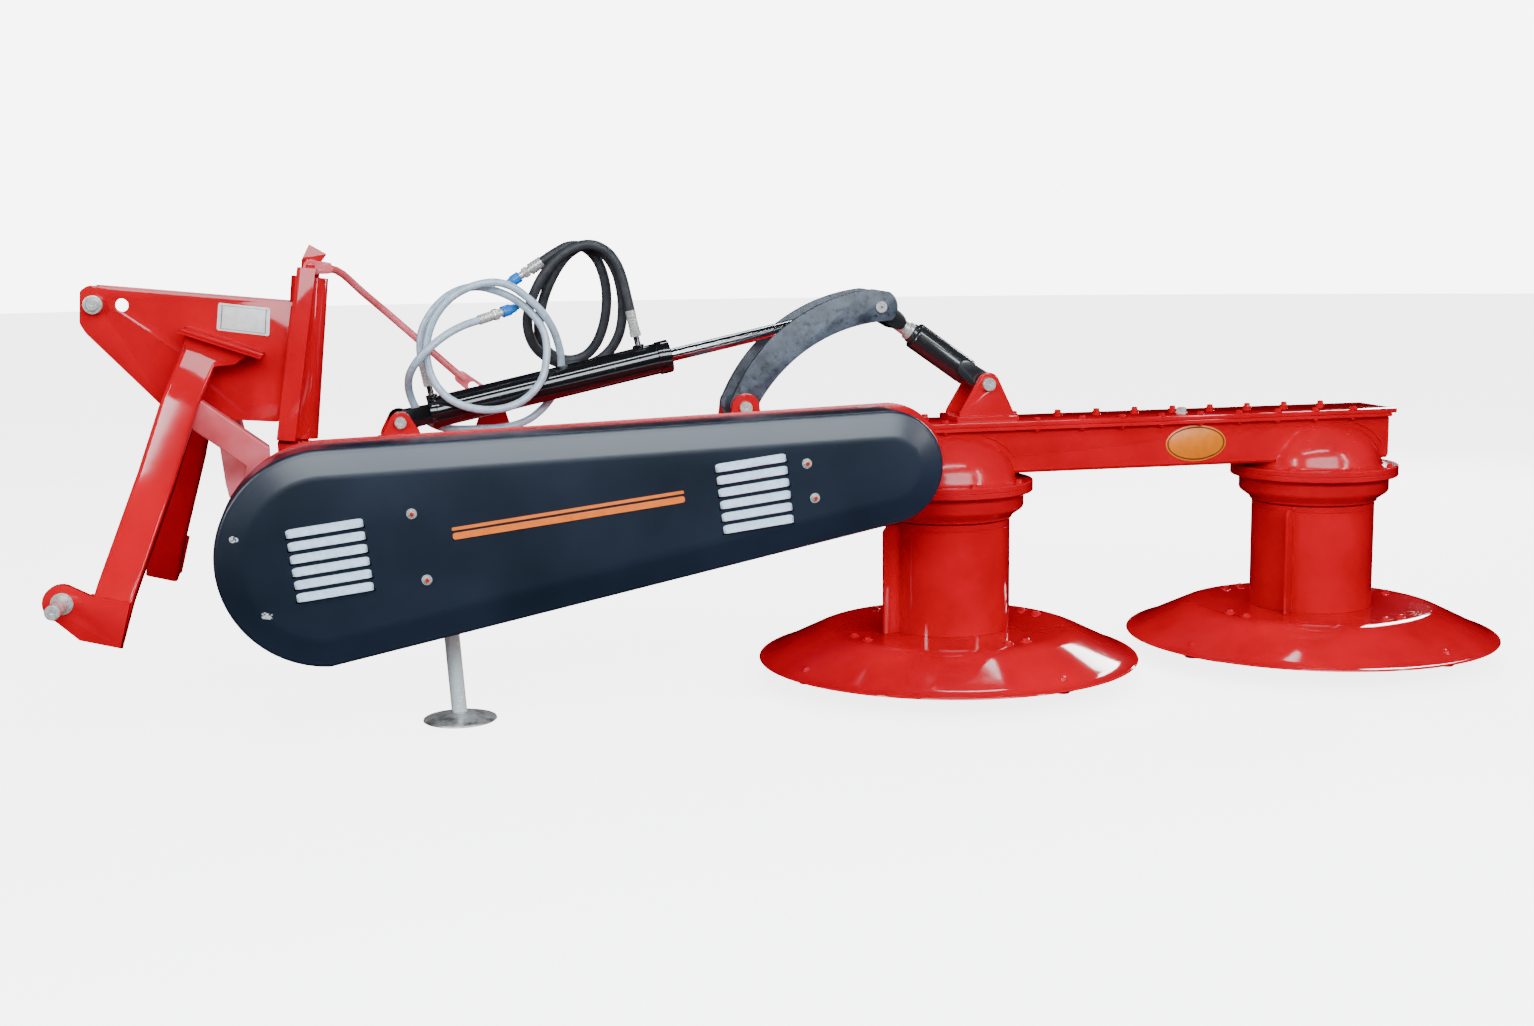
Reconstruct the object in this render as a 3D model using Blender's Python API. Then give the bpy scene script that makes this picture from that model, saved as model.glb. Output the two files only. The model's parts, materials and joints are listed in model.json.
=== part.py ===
"""Two-drum rotary mower for a tractor's three-point linkage, parked on its drums and stand.

Metres, +Z up. The origin is on the ground under the inner drum. +X runs from the headstock
to the outer drum, -Y is the belt guard's side. Every piece is one named object.
"""
import math

import bmesh
import bpy
from mathutils import Matrix, Vector

# Driving dimensions: drums and skids
DRUM_SPACING = 0.930        # between the two drum axes
RIM_RADIUS = 0.440          # skirt's outer edge
RIM_HEIGHT = 0.050          # skirt's edge above the ground
CREASE_RADIUS = 0.292       # where the flat ring turns into the cone
RING_HEIGHT = 0.122         # top of the skirt's flat ring
RING_BORE = 0.120
DRUM_RADIUS = 0.1434
DRUM_TOP = 0.3765
SHEET = 0.004               # drum and skirt sheet
FIN_COUNT = 2
FIN_DEPTH = 0.043
FIN_THICKNESS = 0.006
FIN_ANGLES = {"inner": -159.5, "outer": -137.0}     # first conveying fin, degrees
BLADE_COUNT = 4
BLADE_PIN_INSET = 0.040     # pin circle inside the skirt's edge
BLADE_PIN_RADIUS = RIM_RADIUS - BLADE_PIN_INSET
BLADE_ANGLE = -160.0        # first blade pin, degrees
BLADE_HEIGHT = 0.0425       # underside of the blades
BLADE_LENGTH = 0.100
BLADE_WIDTH = 0.040
BLADE_THICKNESS = 0.004
BLADE_FOLD = 100.0          # parked blade against the outward radius, degrees
PIN_BLADE_R = 0.009
CARRIER_START = 0.215       # inner end of a blade carrier
SKID_RADIUS = 0.250
SKID_FLAT = 0.120
SKID_RISE = 0.028
SKID_PLATE = 0.0055
SHAFT_R = 0.020             # vertical drum shaft
HUB_R = 0.080

# Cutter beam and its housings
BEAM_OVERHANG = 0.155       # web's outer end beyond the outer drum axis
BEAM_END = DRUM_SPACING + BEAM_OVERHANG
BEAM_TAIL = 0.085           # web's inner end, behind the lift axis
BEAM_HALF = 0.070
BEAM_BOTTOM = 0.480
LIP_HALF = 0.085
LIP_BOTTOM = 0.5805
LIP_TOP = 0.5885
COVER_TOP = 0.600
WEB_WALL = 0.006
COVER_OVERHANG = 0.013
PLUG_SHARE = 0.62           # filler plug, of the way to the outer drum
HOUSING_DOME_R = 0.157
HOUSING_DOME_TOP = 0.5798
HOUSING_FLANGE_R = 0.196
HOUSING_BAND_R = 0.175
HOUSING_NECK_R = 0.148
HOUSING_BOTTOM = 0.380
HOUSING_WALL = 0.009
BEARING_R = 0.045

# Bevel gears: a pinion on each drum shaft, wheels on the cross shaft, an equal pair inboard
PINION_TEETH, PINION_R = 8, 0.028
WHEEL_TEETH, WHEEL_R = 12, 0.042
JACK_TEETH, JACK_R = 10, 0.035
TIP_SHARE = 0.08            # half a tooth's tip, of its pitch
ROOT_DEPTH = 1.5            # below the pitch cone, in modules
FACE_SHARE = 0.34           # face width, of the cone's length
CROSS_R = 0.0125
DRIVE_R = 0.0175            # input and jack shafts

# Lift axis, belt drive and guard
LIFT_X, LIFT_Z = -0.238, 0.537      # beam lift axis and driven pulley
INPUT_X, INPUT_Z = -1.3965, 0.4014  # input shaft and driving pulley
PULLEY_BIG = 0.180
PULLEY_SMALL = 0.090
PULLEY_BACK = -0.236
GROOVES = 3
GROOVE_PITCH = 0.019
GROOVE_DEPTH = 0.013
GROOVE_TOP = 0.0135
GROOVE_BOTTOM = 0.006
GUARD_BACK = -0.2053        # cover's open edge
GUARD_FRONT = -0.340        # cover's flat panel
GUARD_PLATE = 0.006         # red backing plate
GUARD_SKIN = 0.003
GUARD_BIG_R = 0.2195
GUARD_SMALL_R = 0.121
GUARD_EDGE = 0.009          # rounded edge of the cover
GUARD_CORNER = 0.005        # bottom edge inside the big end's tangent
GUARD_BAND = 0.056          # sloping band inside the edge
GUARD_SLOPE = 0.013         # how far the band rises
PLATE_MARGIN = 0.012        # backing plate beyond the cover
PLATE_SHIFT = 0.030         # backing plate's small end, outward
LOUVRES = 6
LOUVRE_PITCH = 0.0258
LOUVRE_LENGTH = 0.150
LOUVRE_HEIGHT = 0.017
LOUVRE_RISE = 0.008
LOUVRE_LEFT = (-1.393, 0.402)
LOUVRE_RIGHT = (-0.532, 0.498)

# Main arm and swing knuckle
ARM_HALF = 0.060
ARM_BOTTOM, ARM_TOP = 0.480, 0.600
ARM_START = -1.360
ARM_END = -0.365
ARM_WALL = 0.006
FORK_INNER = 0.088
FORK_PLATE = 0.012
FORK_R = 0.075
TRUNNION_R = 0.045
TILT_Z = 0.550
CHEEK_R = 0.045
CHEEK = 0.015
TILT_PIN_R = 0.018
KNUCKLE_HALF = 0.038
KINGPIN_R = 0.019
KINGPIN_FOOT_R = 0.014
POST_TOP = (-1.4091, 0.9508)        # swing post axis, top
POST_FOOT = (-1.4476, 0.5966)       # swing post axis, foot
POST_R = 0.038
POST_BOTTOM = 0.614

# Lift linkage, in the plane of the cylinder
PIN_A = (-1.2361, 0.6410)   # cylinder base
PIN_B = (-0.4890, 0.6504)   # rocker
PIN_C = (-0.1746, 0.8646)   # rocker, cylinder rod and link
PIN_D = (0.0816, 0.6840)    # link on the beam
PIN_A_R = 0.0125
PIN_B_R = 0.0140
PIN_D_R = 0.0150
BARREL_R = 0.034
BARREL_START = 0.067
BARREL_END = 0.605
ROD_R = 0.0145
PORTS = (0.079, 0.541)      # along the barrel, from pin A
PORT_TIPS = (0.108, 0.117)  # off the barrel's axis
ROCKER_GAP = 0.045
ROCKER_PLATE = 0.012
ROCKER_OUTER = ((-0.5218, 0.6590), (-0.3425, 0.8592), (-0.1929, 0.9048))
ROCKER_INNER = ((-0.1677, 0.8333), (-0.3180, 0.7903), (-0.4540, 0.6612))
LINK_CHEEK = (0.020, 0.034)
LINK_BARREL = (0.104, 0.272)
LINK_BARREL_R = 0.031
EAR = 0.010

# Stand
STAND_X, STAND_Y = -1.1365, -0.100
STAND_LEAN = 3.5            # degrees, foot outward
STAND_R = 0.0165
STAND_TOP = 0.590
SLEEVE_R = 0.0225
FOOT_R = 0.079
FOOT_H = 0.016

# Headstock, symmetrical about its own plane and turned a little on the post
HITCH_YAW = -3.2            # degrees about the swing post
MAST_GAP = 0.043            # half the space between the mast plates
MAST_PLATE = 0.012
TOP_PIN = (-1.8385, 0.9024)
TOP_HOLE = (-1.7837, 0.9003)
TOP_PIN_R = 0.0125
MAST_OUTLINE = ((-1.8638, 0.9311), (-1.8468, 0.9419), (-1.4409, 0.9006), (-1.4820, 0.6516),
                (-1.6940, 0.6680), (-1.8568, 0.8441), (-1.8684, 0.8646))
LEG_TOP, LEG_FOOT = (-1.5960, 0.8500), (-1.8000, 0.2680)
LEG_ROUTE = ((-1.6170, 0.0800, 0.8260), (-1.6690, 0.1500, 0.6948), (-1.7083, 0.2400, 0.5584),
             (-1.7773, 0.3600, 0.3548))
POST_BARS = ((0.6115, 0.970), (0.6500, 0.930))      # near and far bar along the post, foot and top
POST_BAR_EDGES = ((-0.0430, 0.0563), (-0.0048, 0.0542))     # off the axis at its foot, and growth
KNUCKLE_TOP = 0.603
STRUT_ROUTES = (
    ((-1.6120, 0.1500, 0.6550), (-1.5820, 0.1100, 0.5600), (-1.5570, 0.0500, 0.4780), (-1.5520, 0.0100, 0.4680)),
    ((-1.6120, 0.1500, 0.6550), (-1.5920, 0.1100, 0.5850), (-1.5770, 0.0520, 0.5120), (-1.5670, 0.0120, 0.4960)))
LOWER_PIN = (-1.863, 0.3531)
LOWER_PIN_R = 0.014
LEG_WIDE = 0.073
LEG_DEEP = 0.050
LEG_BOTTOM_Y = 0.400
STRUT = (0.060, 0.030)
HINGE_PLATE_Z = 0.468

# Clearances
GAP = 0.0003                # faces that touch on the real machine
RUN = 0.0005                # round parts that turn in each other

ROUND = 24                  # facets of a large turned piece
SMALL = 12                  # facets of a pin
DEG = math.pi / 180.0

for old in list(bpy.data.objects):
    bpy.data.objects.remove(old, do_unlink=True)

PAINTS = {
    "red_paint": ((0.76, 0.012, 0.015), 0.22, 0.0),
    "black_paint": ((0.020, 0.026, 0.036), 0.34, 0.0),
    "dark_enamel": ((0.012, 0.012, 0.013), 0.30, 0.0),
    "steel": ((0.46, 0.46, 0.47), 0.35, 1.0),
    "zinc": ((0.68, 0.68, 0.66), 0.38, 1.0),
    "chrome": ((0.80, 0.80, 0.82), 0.10, 1.0),
    "belt_rubber": ((0.030, 0.030, 0.032), 0.80, 0.0),
    "grey_hose": ((0.52, 0.56, 0.60), 0.45, 0.0),
    "black_hose": ((0.035, 0.037, 0.042), 0.60, 0.0),
    "blue_cap": ((0.010, 0.150, 0.560), 0.40, 0.0),
}
PIVOTS = {}


def paint(name):
    """The Principled material of one finish, made once."""
    found = bpy.data.materials.get(name)
    if found:
        return found
    colour, rough, metal = PAINTS[name]
    made = bpy.data.materials.new(name)
    made.use_nodes = True
    shader = made.node_tree.nodes["Principled BSDF"]
    shader.inputs["Base Color"].default_value = (*colour, 1.0)
    shader.inputs["Roughness"].default_value = rough
    shader.inputs["Metallic"].default_value = metal
    made.diffuse_color = (*colour, 1.0)
    return made


def from_bmesh(bm):
    """A loose solid from a bmesh, with its faces pointing out."""
    bmesh.ops.remove_doubles(bm, verts=bm.verts, dist=1e-6)
    bmesh.ops.recalc_face_normals(bm, faces=bm.faces)
    mesh = bpy.data.meshes.new("solid")
    bm.to_mesh(mesh)
    bm.free()
    made = bpy.data.objects.new("solid", mesh)
    bpy.context.scene.collection.objects.link(made)
    return made


def rings(loops, closed=False):
    """A solid through rings of equal length; open ends are capped."""
    bm = bmesh.new()
    rows = [[bm.verts.new(point) for point in loop] for loop in loops]
    count = len(rows[0])
    last = len(rows) if closed else len(rows) - 1
    for i in range(last):
        a, b = rows[i], rows[(i + 1) % len(rows)]
        for k in range(count):
            bm.faces.new((a[k], a[(k + 1) % count], b[(k + 1) % count], b[k]))
    if not closed:
        bm.faces.new(rows[0])
        bm.faces.new(rows[-1])
    return from_bmesh(bm)


def box(low, high):
    bm = bmesh.new()
    middle = [(a + b) / 2 for a, b in zip(low, high)]
    size = [b - a for a, b in zip(low, high)]
    place = Matrix.Translation(middle) @ Matrix.Diagonal((*size, 1.0))
    bmesh.ops.create_cube(bm, size=1.0, matrix=place)
    return from_bmesh(bm)


def slab(outline, y0, y1):
    """An outline in X and Z, extruded from y0 to y1."""
    return rings([[(x, y0, z) for x, z in outline], [(x, y1, z) for x, z in outline]])


def pin(start, end, radius, facets=SMALL, radius2=None):
    """A round bar or cone between two points."""
    start, end = Vector(start), Vector(end)
    bm = bmesh.new()
    turn = (end - start).to_track_quat("Z", "Y").to_matrix().to_4x4()
    bmesh.ops.create_cone(bm, cap_ends=True, segments=facets, radius1=radius,
                          radius2=radius if radius2 is None else radius2,
                          depth=(end - start).length,
                          matrix=Matrix.Translation((start + end) / 2) @ turn)
    return from_bmesh(bm)


def cross_pin(x, z, radius, y0, y1, facets=SMALL):
    return pin((x, y0, z), (x, y1, z), radius, facets)


def turned(profile, x=0.0, y=0.0, facets=ROUND, phase=0.5):
    """A closed (radius, height) profile turned about an upright axis at x, y."""
    bm = bmesh.new()
    corners = [bm.verts.new((r, 0.0, z)) for r, z in profile]
    edges = [bm.edges.new((corners[i - 1], corners[i])) for i in range(len(corners))]
    bmesh.ops.spin(bm, geom=corners + edges, cent=(0, 0, 0), axis=(0, 0, 1),
                   angle=2 * math.pi, steps=facets, use_merge=True)
    turn = Matrix.Rotation(phase * 2 * math.pi / facets, 4, "Z")
    bmesh.ops.transform(bm, matrix=Matrix.Translation((x, y, 0)) @ turn, verts=bm.verts)
    bmesh.ops.remove_doubles(bm, verts=bm.verts, dist=1e-6)
    return from_bmesh(bm)


def turned_y(profile, x, z, facets=ROUND):
    """A closed (radius, y) profile turned about a level axis along Y."""
    made = turned([(r, -y) for r, y in profile], 0.0, 0.0, facets)
    made.data.transform(Matrix.Translation((x, 0, z)) @ Matrix.Rotation(90 * DEG, 4, "X"))
    return made


def arc(cx, cz, radius, start, end, count):
    """Points on an arc, angles in degrees."""
    return [(cx + radius * math.cos((start + (end - start) * i / (count - 1)) * DEG),
             cz + radius * math.sin((start + (end - start) * i / (count - 1)) * DEG))
            for i in range(count)]


def arc_through(a, b, c, count):
    """Points on the circle from a over b to c."""
    (ax, az), (bx, bz), (cx, cz) = a, b, c
    d = 2 * (ax * (bz - cz) + bx * (cz - az) + cx * (az - bz))
    sa, sb, sc = ax * ax + az * az, bx * bx + bz * bz, cx * cx + cz * cz
    ux = (sa * (bz - cz) + sb * (cz - az) + sc * (az - bz)) / d
    uz = (sa * (cx - bx) + sb * (ax - cx) + sc * (bx - ax)) / d
    first, middle, last = (math.degrees(math.atan2(z - uz, x - ux)) for x, z in (a, b, c))
    span = (last - first) % 360
    if (middle - first) % 360 > span:
        span -= 360
    return arc(ux, uz, math.hypot(ax - ux, az - uz), first, first + span, count)


def rounded_bar(a, b, radius_a, radius_b, count=8):
    """Outline of a bar in X and Z with a round end about each point."""
    angle = math.degrees(math.atan2(b[1] - a[1], b[0] - a[0]))
    return (arc(b[0], b[1], radius_b, angle - 90, angle + 90, count)
            + arc(a[0], a[1], radius_a, angle + 90, angle + 270, count))


def swept_bar(points, wide, deep):
    """A rectangular bar along points; its wide side lies across X."""
    points = [Vector(p) for p in points]
    loops = []
    for i, point in enumerate(points):
        ahead = (points[min(i + 1, len(points) - 1)] - points[max(i - 1, 0)]).normalized()
        side = ahead.cross(Vector((0, 1, 0))).normalized()
        front = side.cross(ahead).normalized()
        loops.append([point + side * u * wide / 2 + front * v * deep / 2
                      for u, v in ((-1, -1), (1, -1), (1, 1), (-1, 1))])
    return rings(loops)


def spline(points, spacing):
    """Evenly spaced points on a smooth curve through the given ones."""
    points = [Vector(p) for p in points]
    ends = [2 * points[0] - points[1], *points, 2 * points[-1] - points[-2]]
    fine = []
    for i in range(1, len(ends) - 2):
        p0, p1, p2, p3 = ends[i - 1:i + 3]
        for k in range(24):
            t = k / 24
            fine.append(0.5 * (2 * p1 + (p2 - p0) * t + (2 * p0 - 5 * p1 + 4 * p2 - p3) * t ** 2
                               + (3 * p1 - p0 - 3 * p2 + p3) * t ** 3))
    fine.append(points[-1])
    total = sum((b - a).length for a, b in zip(fine, fine[1:]))
    count = max(2, round(total / spacing))
    out, walked, k = [fine[0]], 0.0, 0
    for i in range(1, count):
        target = total * i / count
        while walked + (fine[k + 1] - fine[k]).length < target:
            walked += (fine[k + 1] - fine[k]).length
            k += 1
        out.append(fine[k].lerp(fine[k + 1], (target - walked) / (fine[k + 1] - fine[k]).length))
    return out + [fine[-1]], total


def tube_curve(name, points, radius, resolution):
    """A round tube along points: a curve with a bevel and filled caps."""
    curve = bpy.data.curves.new(name, "CURVE")
    curve.dimensions = "3D"
    curve.bevel_depth = radius
    curve.bevel_resolution = resolution
    curve.use_fill_caps = True
    run = curve.splines.new("POLY")
    run.points.add(len(points) - 1)
    for knot, point in zip(run.points, points):
        knot.co = (*point, 1.0)
    made = bpy.data.objects.new(name, curve)
    bpy.context.scene.collection.objects.link(made)
    return made


def settle(obj):
    """Replace an object's mesh by its evaluated one and drop its modifiers."""
    bpy.context.view_layer.update()
    graph = bpy.context.evaluated_depsgraph_get()
    mesh = bpy.data.meshes.new_from_object(obj.evaluated_get(graph))
    obj.modifiers.clear()
    if obj.type == "MESH":
        obj.data = mesh
        return obj
    bpy.data.objects.remove(obj, do_unlink=True)
    made = bpy.data.objects.new("solid", mesh)
    bpy.context.scene.collection.objects.link(made)
    return made


def fuse(solids, cuts=()):
    """One solid: the union of the solids, less the cuts."""
    base = solids[0]
    others = [(s, "UNION") for s in solids[1:]] + [(c, "DIFFERENCE") for c in cuts]
    for other, way in others:
        step = base.modifiers.new(way, "BOOLEAN")
        step.operation = way
        step.object = other
        step.solver = "EXACT"
    settle(base)
    for other, way in others:
        bpy.data.objects.remove(other, do_unlink=True)
    return base


def node(name, finish, solids, cuts=(), pivot=None, smooth=35.0):
    """A finished piece of the mower; pivot is its body's empty."""
    made = fuse(solids, cuts) if len(solids) > 1 or cuts else solids[0]
    made.name = name
    made.data.name = name
    made.data.materials.clear()
    made.data.materials.append(paint(finish))
    made.data.shade_smooth()
    made.data.set_sharp_from_angle(angle=smooth * DEG)
    attach(made, pivot)
    return made


def attach(made, pivot):
    """Put a piece's origin on its joint and hang it from the body's empty."""
    if pivot is None:
        return
    holder = PIVOTS[pivot]
    spot = holder.matrix_world.translation.copy()
    made.data.transform(Matrix.Translation(-spot))
    made.location = spot
    made.parent = holder
    made.matrix_parent_inverse = holder.matrix_world.inverted()


def body(name, spot, parent=None):
    """An empty on a joint's axis that carries one moving body."""
    holder = bpy.data.objects.new("axis_" + name, None)
    bpy.context.scene.collection.objects.link(holder)
    holder.location = spot
    bpy.context.view_layer.update()
    if parent:
        holder.parent = PIVOTS[parent]
        holder.matrix_parent_inverse = PIVOTS[parent].matrix_world.inverted()
        bpy.context.view_layer.update()
    PIVOTS[name] = holder


def post_x(z):
    """X of the leaning swing axis at a height."""
    share = (z - POST_FOOT[1]) / (POST_TOP[1] - POST_FOOT[1])
    return POST_FOOT[0] + share * (POST_TOP[0] - POST_FOOT[0])


def on_post(z, radius, z2, facets=SMALL):
    return pin((post_x(z), 0, z), (post_x(z2), 0, z2), radius, facets)


def along(a, b, distance, off=0.0):
    """A point at a distance from a towards b, and off to the upper side."""
    length = math.hypot(b[0] - a[0], b[1] - a[1])
    ux, uz = (b[0] - a[0]) / length, (b[1] - a[1]) / length
    return (a[0] + ux * distance - uz * off, a[1] + uz * distance + ux * off)


def flat(point, y=0.0):
    return (point[0], y, point[1])


TILT_X = post_x(TILT_Z)
OUTER_X = DRUM_SPACING
TIE_TOP = (post_x(0.972), 0.972)
TIE_EYE = (-1.030, 0.672)

body("swing_knuckle", (TILT_X, 0, TILT_Z))
body("tie_rod", (TIE_TOP[0], 0, TIE_TOP[1]), "swing_knuckle")
body("arm", (TILT_X, 0, TILT_Z), "swing_knuckle")
body("stand", (STAND_X, STAND_Y, 0), "arm")
body("input_drive", (INPUT_X, 0, INPUT_Z), "arm")
body("barrel", flat(PIN_A), "arm")
body("piston", flat(PIN_A), "barrel")
body("rocker", flat(PIN_B), "arm")
body("beam", (LIFT_X, 0, LIFT_Z), "arm")
body("link", flat(PIN_D), "beam")
body("jack_drive", (LIFT_X, 0, LIFT_Z), "beam")
body("cross_drive", (LIFT_X, 0, LIFT_Z), "beam")
DRUMS = (("inner", 0.0, -1), ("outer", OUTER_X, 1))
for side, x, hand in DRUMS:
    body(side + "_drum", (x, 0, RIM_HEIGHT), "beam")
    body(side + "_skid", (x, 0, 0), side + "_drum")


def cone_height(radius):
    """Height of the skirt's cone at a radius."""
    share = (radius - CREASE_RADIUS) / (RIM_RADIUS - CREASE_RADIUS)
    return RING_HEIGHT - share * (RING_HEIGHT - RIM_HEIGHT)


def bevel_gear(teeth, radius, reach, phase=0.0):
    """A straight bevel gear about +Z; its cone's tip is the origin, its large end at z = reach."""
    pitch = 2 * math.pi / teeth
    module = 2 * radius / teeth
    slant = math.hypot(radius, reach)
    out_r, out_z = reach / slant, -radius / slant
    bm = bmesh.new()
    rows = []
    for scale in (1.0, 1.0 - FACE_SHARE):
        row = []
        for k in range(teeth):
            for share, off in ((-0.5, -ROOT_DEPTH), (-TIP_SHARE, 0.65), (TIP_SHARE, 0.65)):
                angle = (k + phase + share) * pitch
                r = (radius + out_r * off * module) * scale
                z = (reach + out_z * off * module) * scale
                row.append(bm.verts.new((r * math.cos(angle), r * math.sin(angle), z)))
        rows.append(row)
        hub = bm.verts.new((0, 0, (reach - out_z * ROOT_DEPTH * module) * scale))
        for k in range(len(row)):
            bm.faces.new((row[k], row[(k + 1) % len(row)], hub))
    for k in range(len(rows[0])):
        m = (k + 1) % len(rows[0])
        bm.faces.new((rows[0][k], rows[0][m], rows[1][m], rows[1][k]))
    return from_bmesh(bm)


def drum_pieces(side, x):
    """Drum shell with fins, skirt with blade carriers, shaft, skid and blades."""
    pivot = side + "_drum"
    floor = RING_HEIGHT + GAP
    inner = DRUM_RADIUS - SHEET
    shell = turned([(inner, floor), (DRUM_RADIUS, floor), (DRUM_RADIUS, DRUM_TOP),
                    (SHAFT_R + RUN, DRUM_TOP), (SHAFT_R + RUN, DRUM_TOP - 1.5 * SHEET),
                    (inner, DRUM_TOP - 1.5 * SHEET)], x)
    fins = []
    for k in range(FIN_COUNT):
        fin = box((inner + 0.002, -FIN_THICKNESS / 2, floor),
                  (DRUM_RADIUS + FIN_DEPTH, FIN_THICKNESS / 2, DRUM_TOP - 0.005))
        turn = Matrix.Rotation((FIN_ANGLES[side] + k * 360 / FIN_COUNT) * DEG, 4, "Z")
        fin.data.transform(Matrix.Translation((x, 0, 0)) @ turn)
        fins.append(fin)
    node(side + "_drum_shell", "red_paint", [shell, *fins], pivot=pivot)

    drop = SHEET * 1.12
    skirt = turned([(RING_BORE, RING_HEIGHT - SHEET), (CREASE_RADIUS - 0.002, RING_HEIGHT - SHEET),
                    (RIM_RADIUS - SHEET, RIM_HEIGHT + 0.001), (RIM_RADIUS, RIM_HEIGHT),
                    (RIM_RADIUS, RIM_HEIGHT + 0.004),
                    (CREASE_RADIUS + 0.006, cone_height(CREASE_RADIUS + 0.006)),
                    (CREASE_RADIUS - 0.006, RING_HEIGHT), (RING_BORE, RING_HEIGHT)], x)
    extras = []
    pin_top = cone_height(BLADE_PIN_RADIUS) - drop
    carrier_low = BLADE_HEIGHT + BLADE_THICKNESS + RUN
    for k in range(BLADE_COUNT):
        angle = (BLADE_ANGLE + k * 360 / BLADE_COUNT) * DEG
        turn = Matrix.Translation((x, 0, 0)) @ Matrix.Rotation(angle, 4, "Z")
        low, reach = CARRIER_START, BLADE_PIN_RADIUS + 0.022
        outline = [(low, RING_HEIGHT - 1.5 * SHEET - 0.006), (low, RING_HEIGHT - SHEET + 0.0015),
                   (CREASE_RADIUS - 0.006, RING_HEIGHT - SHEET + 0.0015),
                   (BLADE_PIN_RADIUS - 0.02, cone_height(BLADE_PIN_RADIUS - 0.02) - 0.003),
                   (reach, cone_height(reach) - 0.003), (reach, carrier_low),
                   (BLADE_PIN_RADIUS - 0.022, carrier_low),
                   (CREASE_RADIUS - 0.002, RING_HEIGHT - 1.5 * SHEET - 0.006)]
        carrier = slab(outline, -0.024, 0.024)
        foot = pin((BLADE_PIN_RADIUS, 0, pin_top), (BLADE_PIN_RADIUS, 0, BLADE_HEIGHT - RUN - 0.001),
                   PIN_BLADE_R, 8)
        head = pin((BLADE_PIN_RADIUS, 0, BLADE_HEIGHT - RUN),
                   (BLADE_PIN_RADIUS, 0, BLADE_HEIGHT - RUN - 0.004), PIN_BLADE_R * 1.7, 6)
        for piece in (carrier, foot, head):
            piece.data.transform(turn)
            extras.append(piece)
    node(side + "_drum_skirt", "red_paint", [skirt, *extras], pivot=pivot)

    hub_top = DRUM_TOP - 1.5 * SHEET - GAP
    gear_plane = LIFT_Z - WHEEL_R
    shaft = turned([(0, SKID_PLATE + GAP), (SHAFT_R, SKID_PLATE + GAP), (SHAFT_R, hub_top - 0.010),
                    (HUB_R, hub_top - 0.010), (HUB_R, hub_top), (SHAFT_R, hub_top),
                    (SHAFT_R, gear_plane - 0.020), (0, gear_plane - 0.020)], x, 0, 16)
    gear = bevel_gear(PINION_TEETH, PINION_R, WHEEL_R)
    gear.data.transform(Matrix.Translation((x, 0, LIFT_Z)) @ Matrix.Rotation(180 * DEG, 4, "X"))
    neck = pin((x, 0, gear_plane - 0.022), (x, 0, gear_plane + 0.001), SHAFT_R * 0.7, 10)
    node(side + "_drum_shaft", "steel", [shaft, neck, gear], pivot=pivot)

    skid = turned([(0, 0), (SKID_FLAT, 0), (SKID_RADIUS * 0.82, SKID_RISE * 0.35),
                   (SKID_RADIUS, SKID_RISE), (SKID_RADIUS - 0.002, SKID_RISE + SKID_PLATE),
                   (SKID_RADIUS * 0.81, SKID_RISE * 0.35 + SKID_PLATE), (SKID_FLAT - 0.001, SKID_PLATE),
                   (SHAFT_R + 0.012, SKID_PLATE), (SHAFT_R + 0.012, SKID_PLATE + 0.075),
                   (SHAFT_R + RUN, SKID_PLATE + 0.075), (SHAFT_R + RUN, SKID_PLATE),
                   (0, SKID_PLATE)], x, 0, 24)
    node(side + "_skid_dish", "red_paint", [skid], pivot=side + "_skid")

    for k in range(BLADE_COUNT):
        angle = (BLADE_ANGLE + k * 360 / BLADE_COUNT) * DEG
        name = f"{side}_blade_{k + 1}"
        body(name, (x + BLADE_PIN_RADIUS * math.cos(angle), BLADE_PIN_RADIUS * math.sin(angle),
                    BLADE_HEIGHT), pivot)
        half = BLADE_WIDTH / 2
        outline = (arc(0, 0, half, 90, 270, 5) + [(BLADE_LENGTH - 0.02, -half),
                   (BLADE_LENGTH, -half + 0.008), (BLADE_LENGTH, half - 0.008),
                   (BLADE_LENGTH - 0.02, half)])
        low, high = BLADE_HEIGHT, BLADE_HEIGHT + BLADE_THICKNESS
        blade = rings([[(u, v, low) for u, v in outline], [(u, v, high) for u, v in outline]])
        eye = pin((0, 0, low - 0.01), (0, 0, high + 0.01), PIN_BLADE_R + 2 * RUN, 8)
        blade = fuse([blade], [eye])
        turn = Matrix.Rotation(angle + BLADE_FOLD * DEG, 4, "Z")
        spot = PIVOTS[name].matrix_world.translation
        blade.data.transform(Matrix.Translation((spot.x, spot.y, 0)) @ turn)
        node(name, "steel", [blade], pivot=name)


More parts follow.
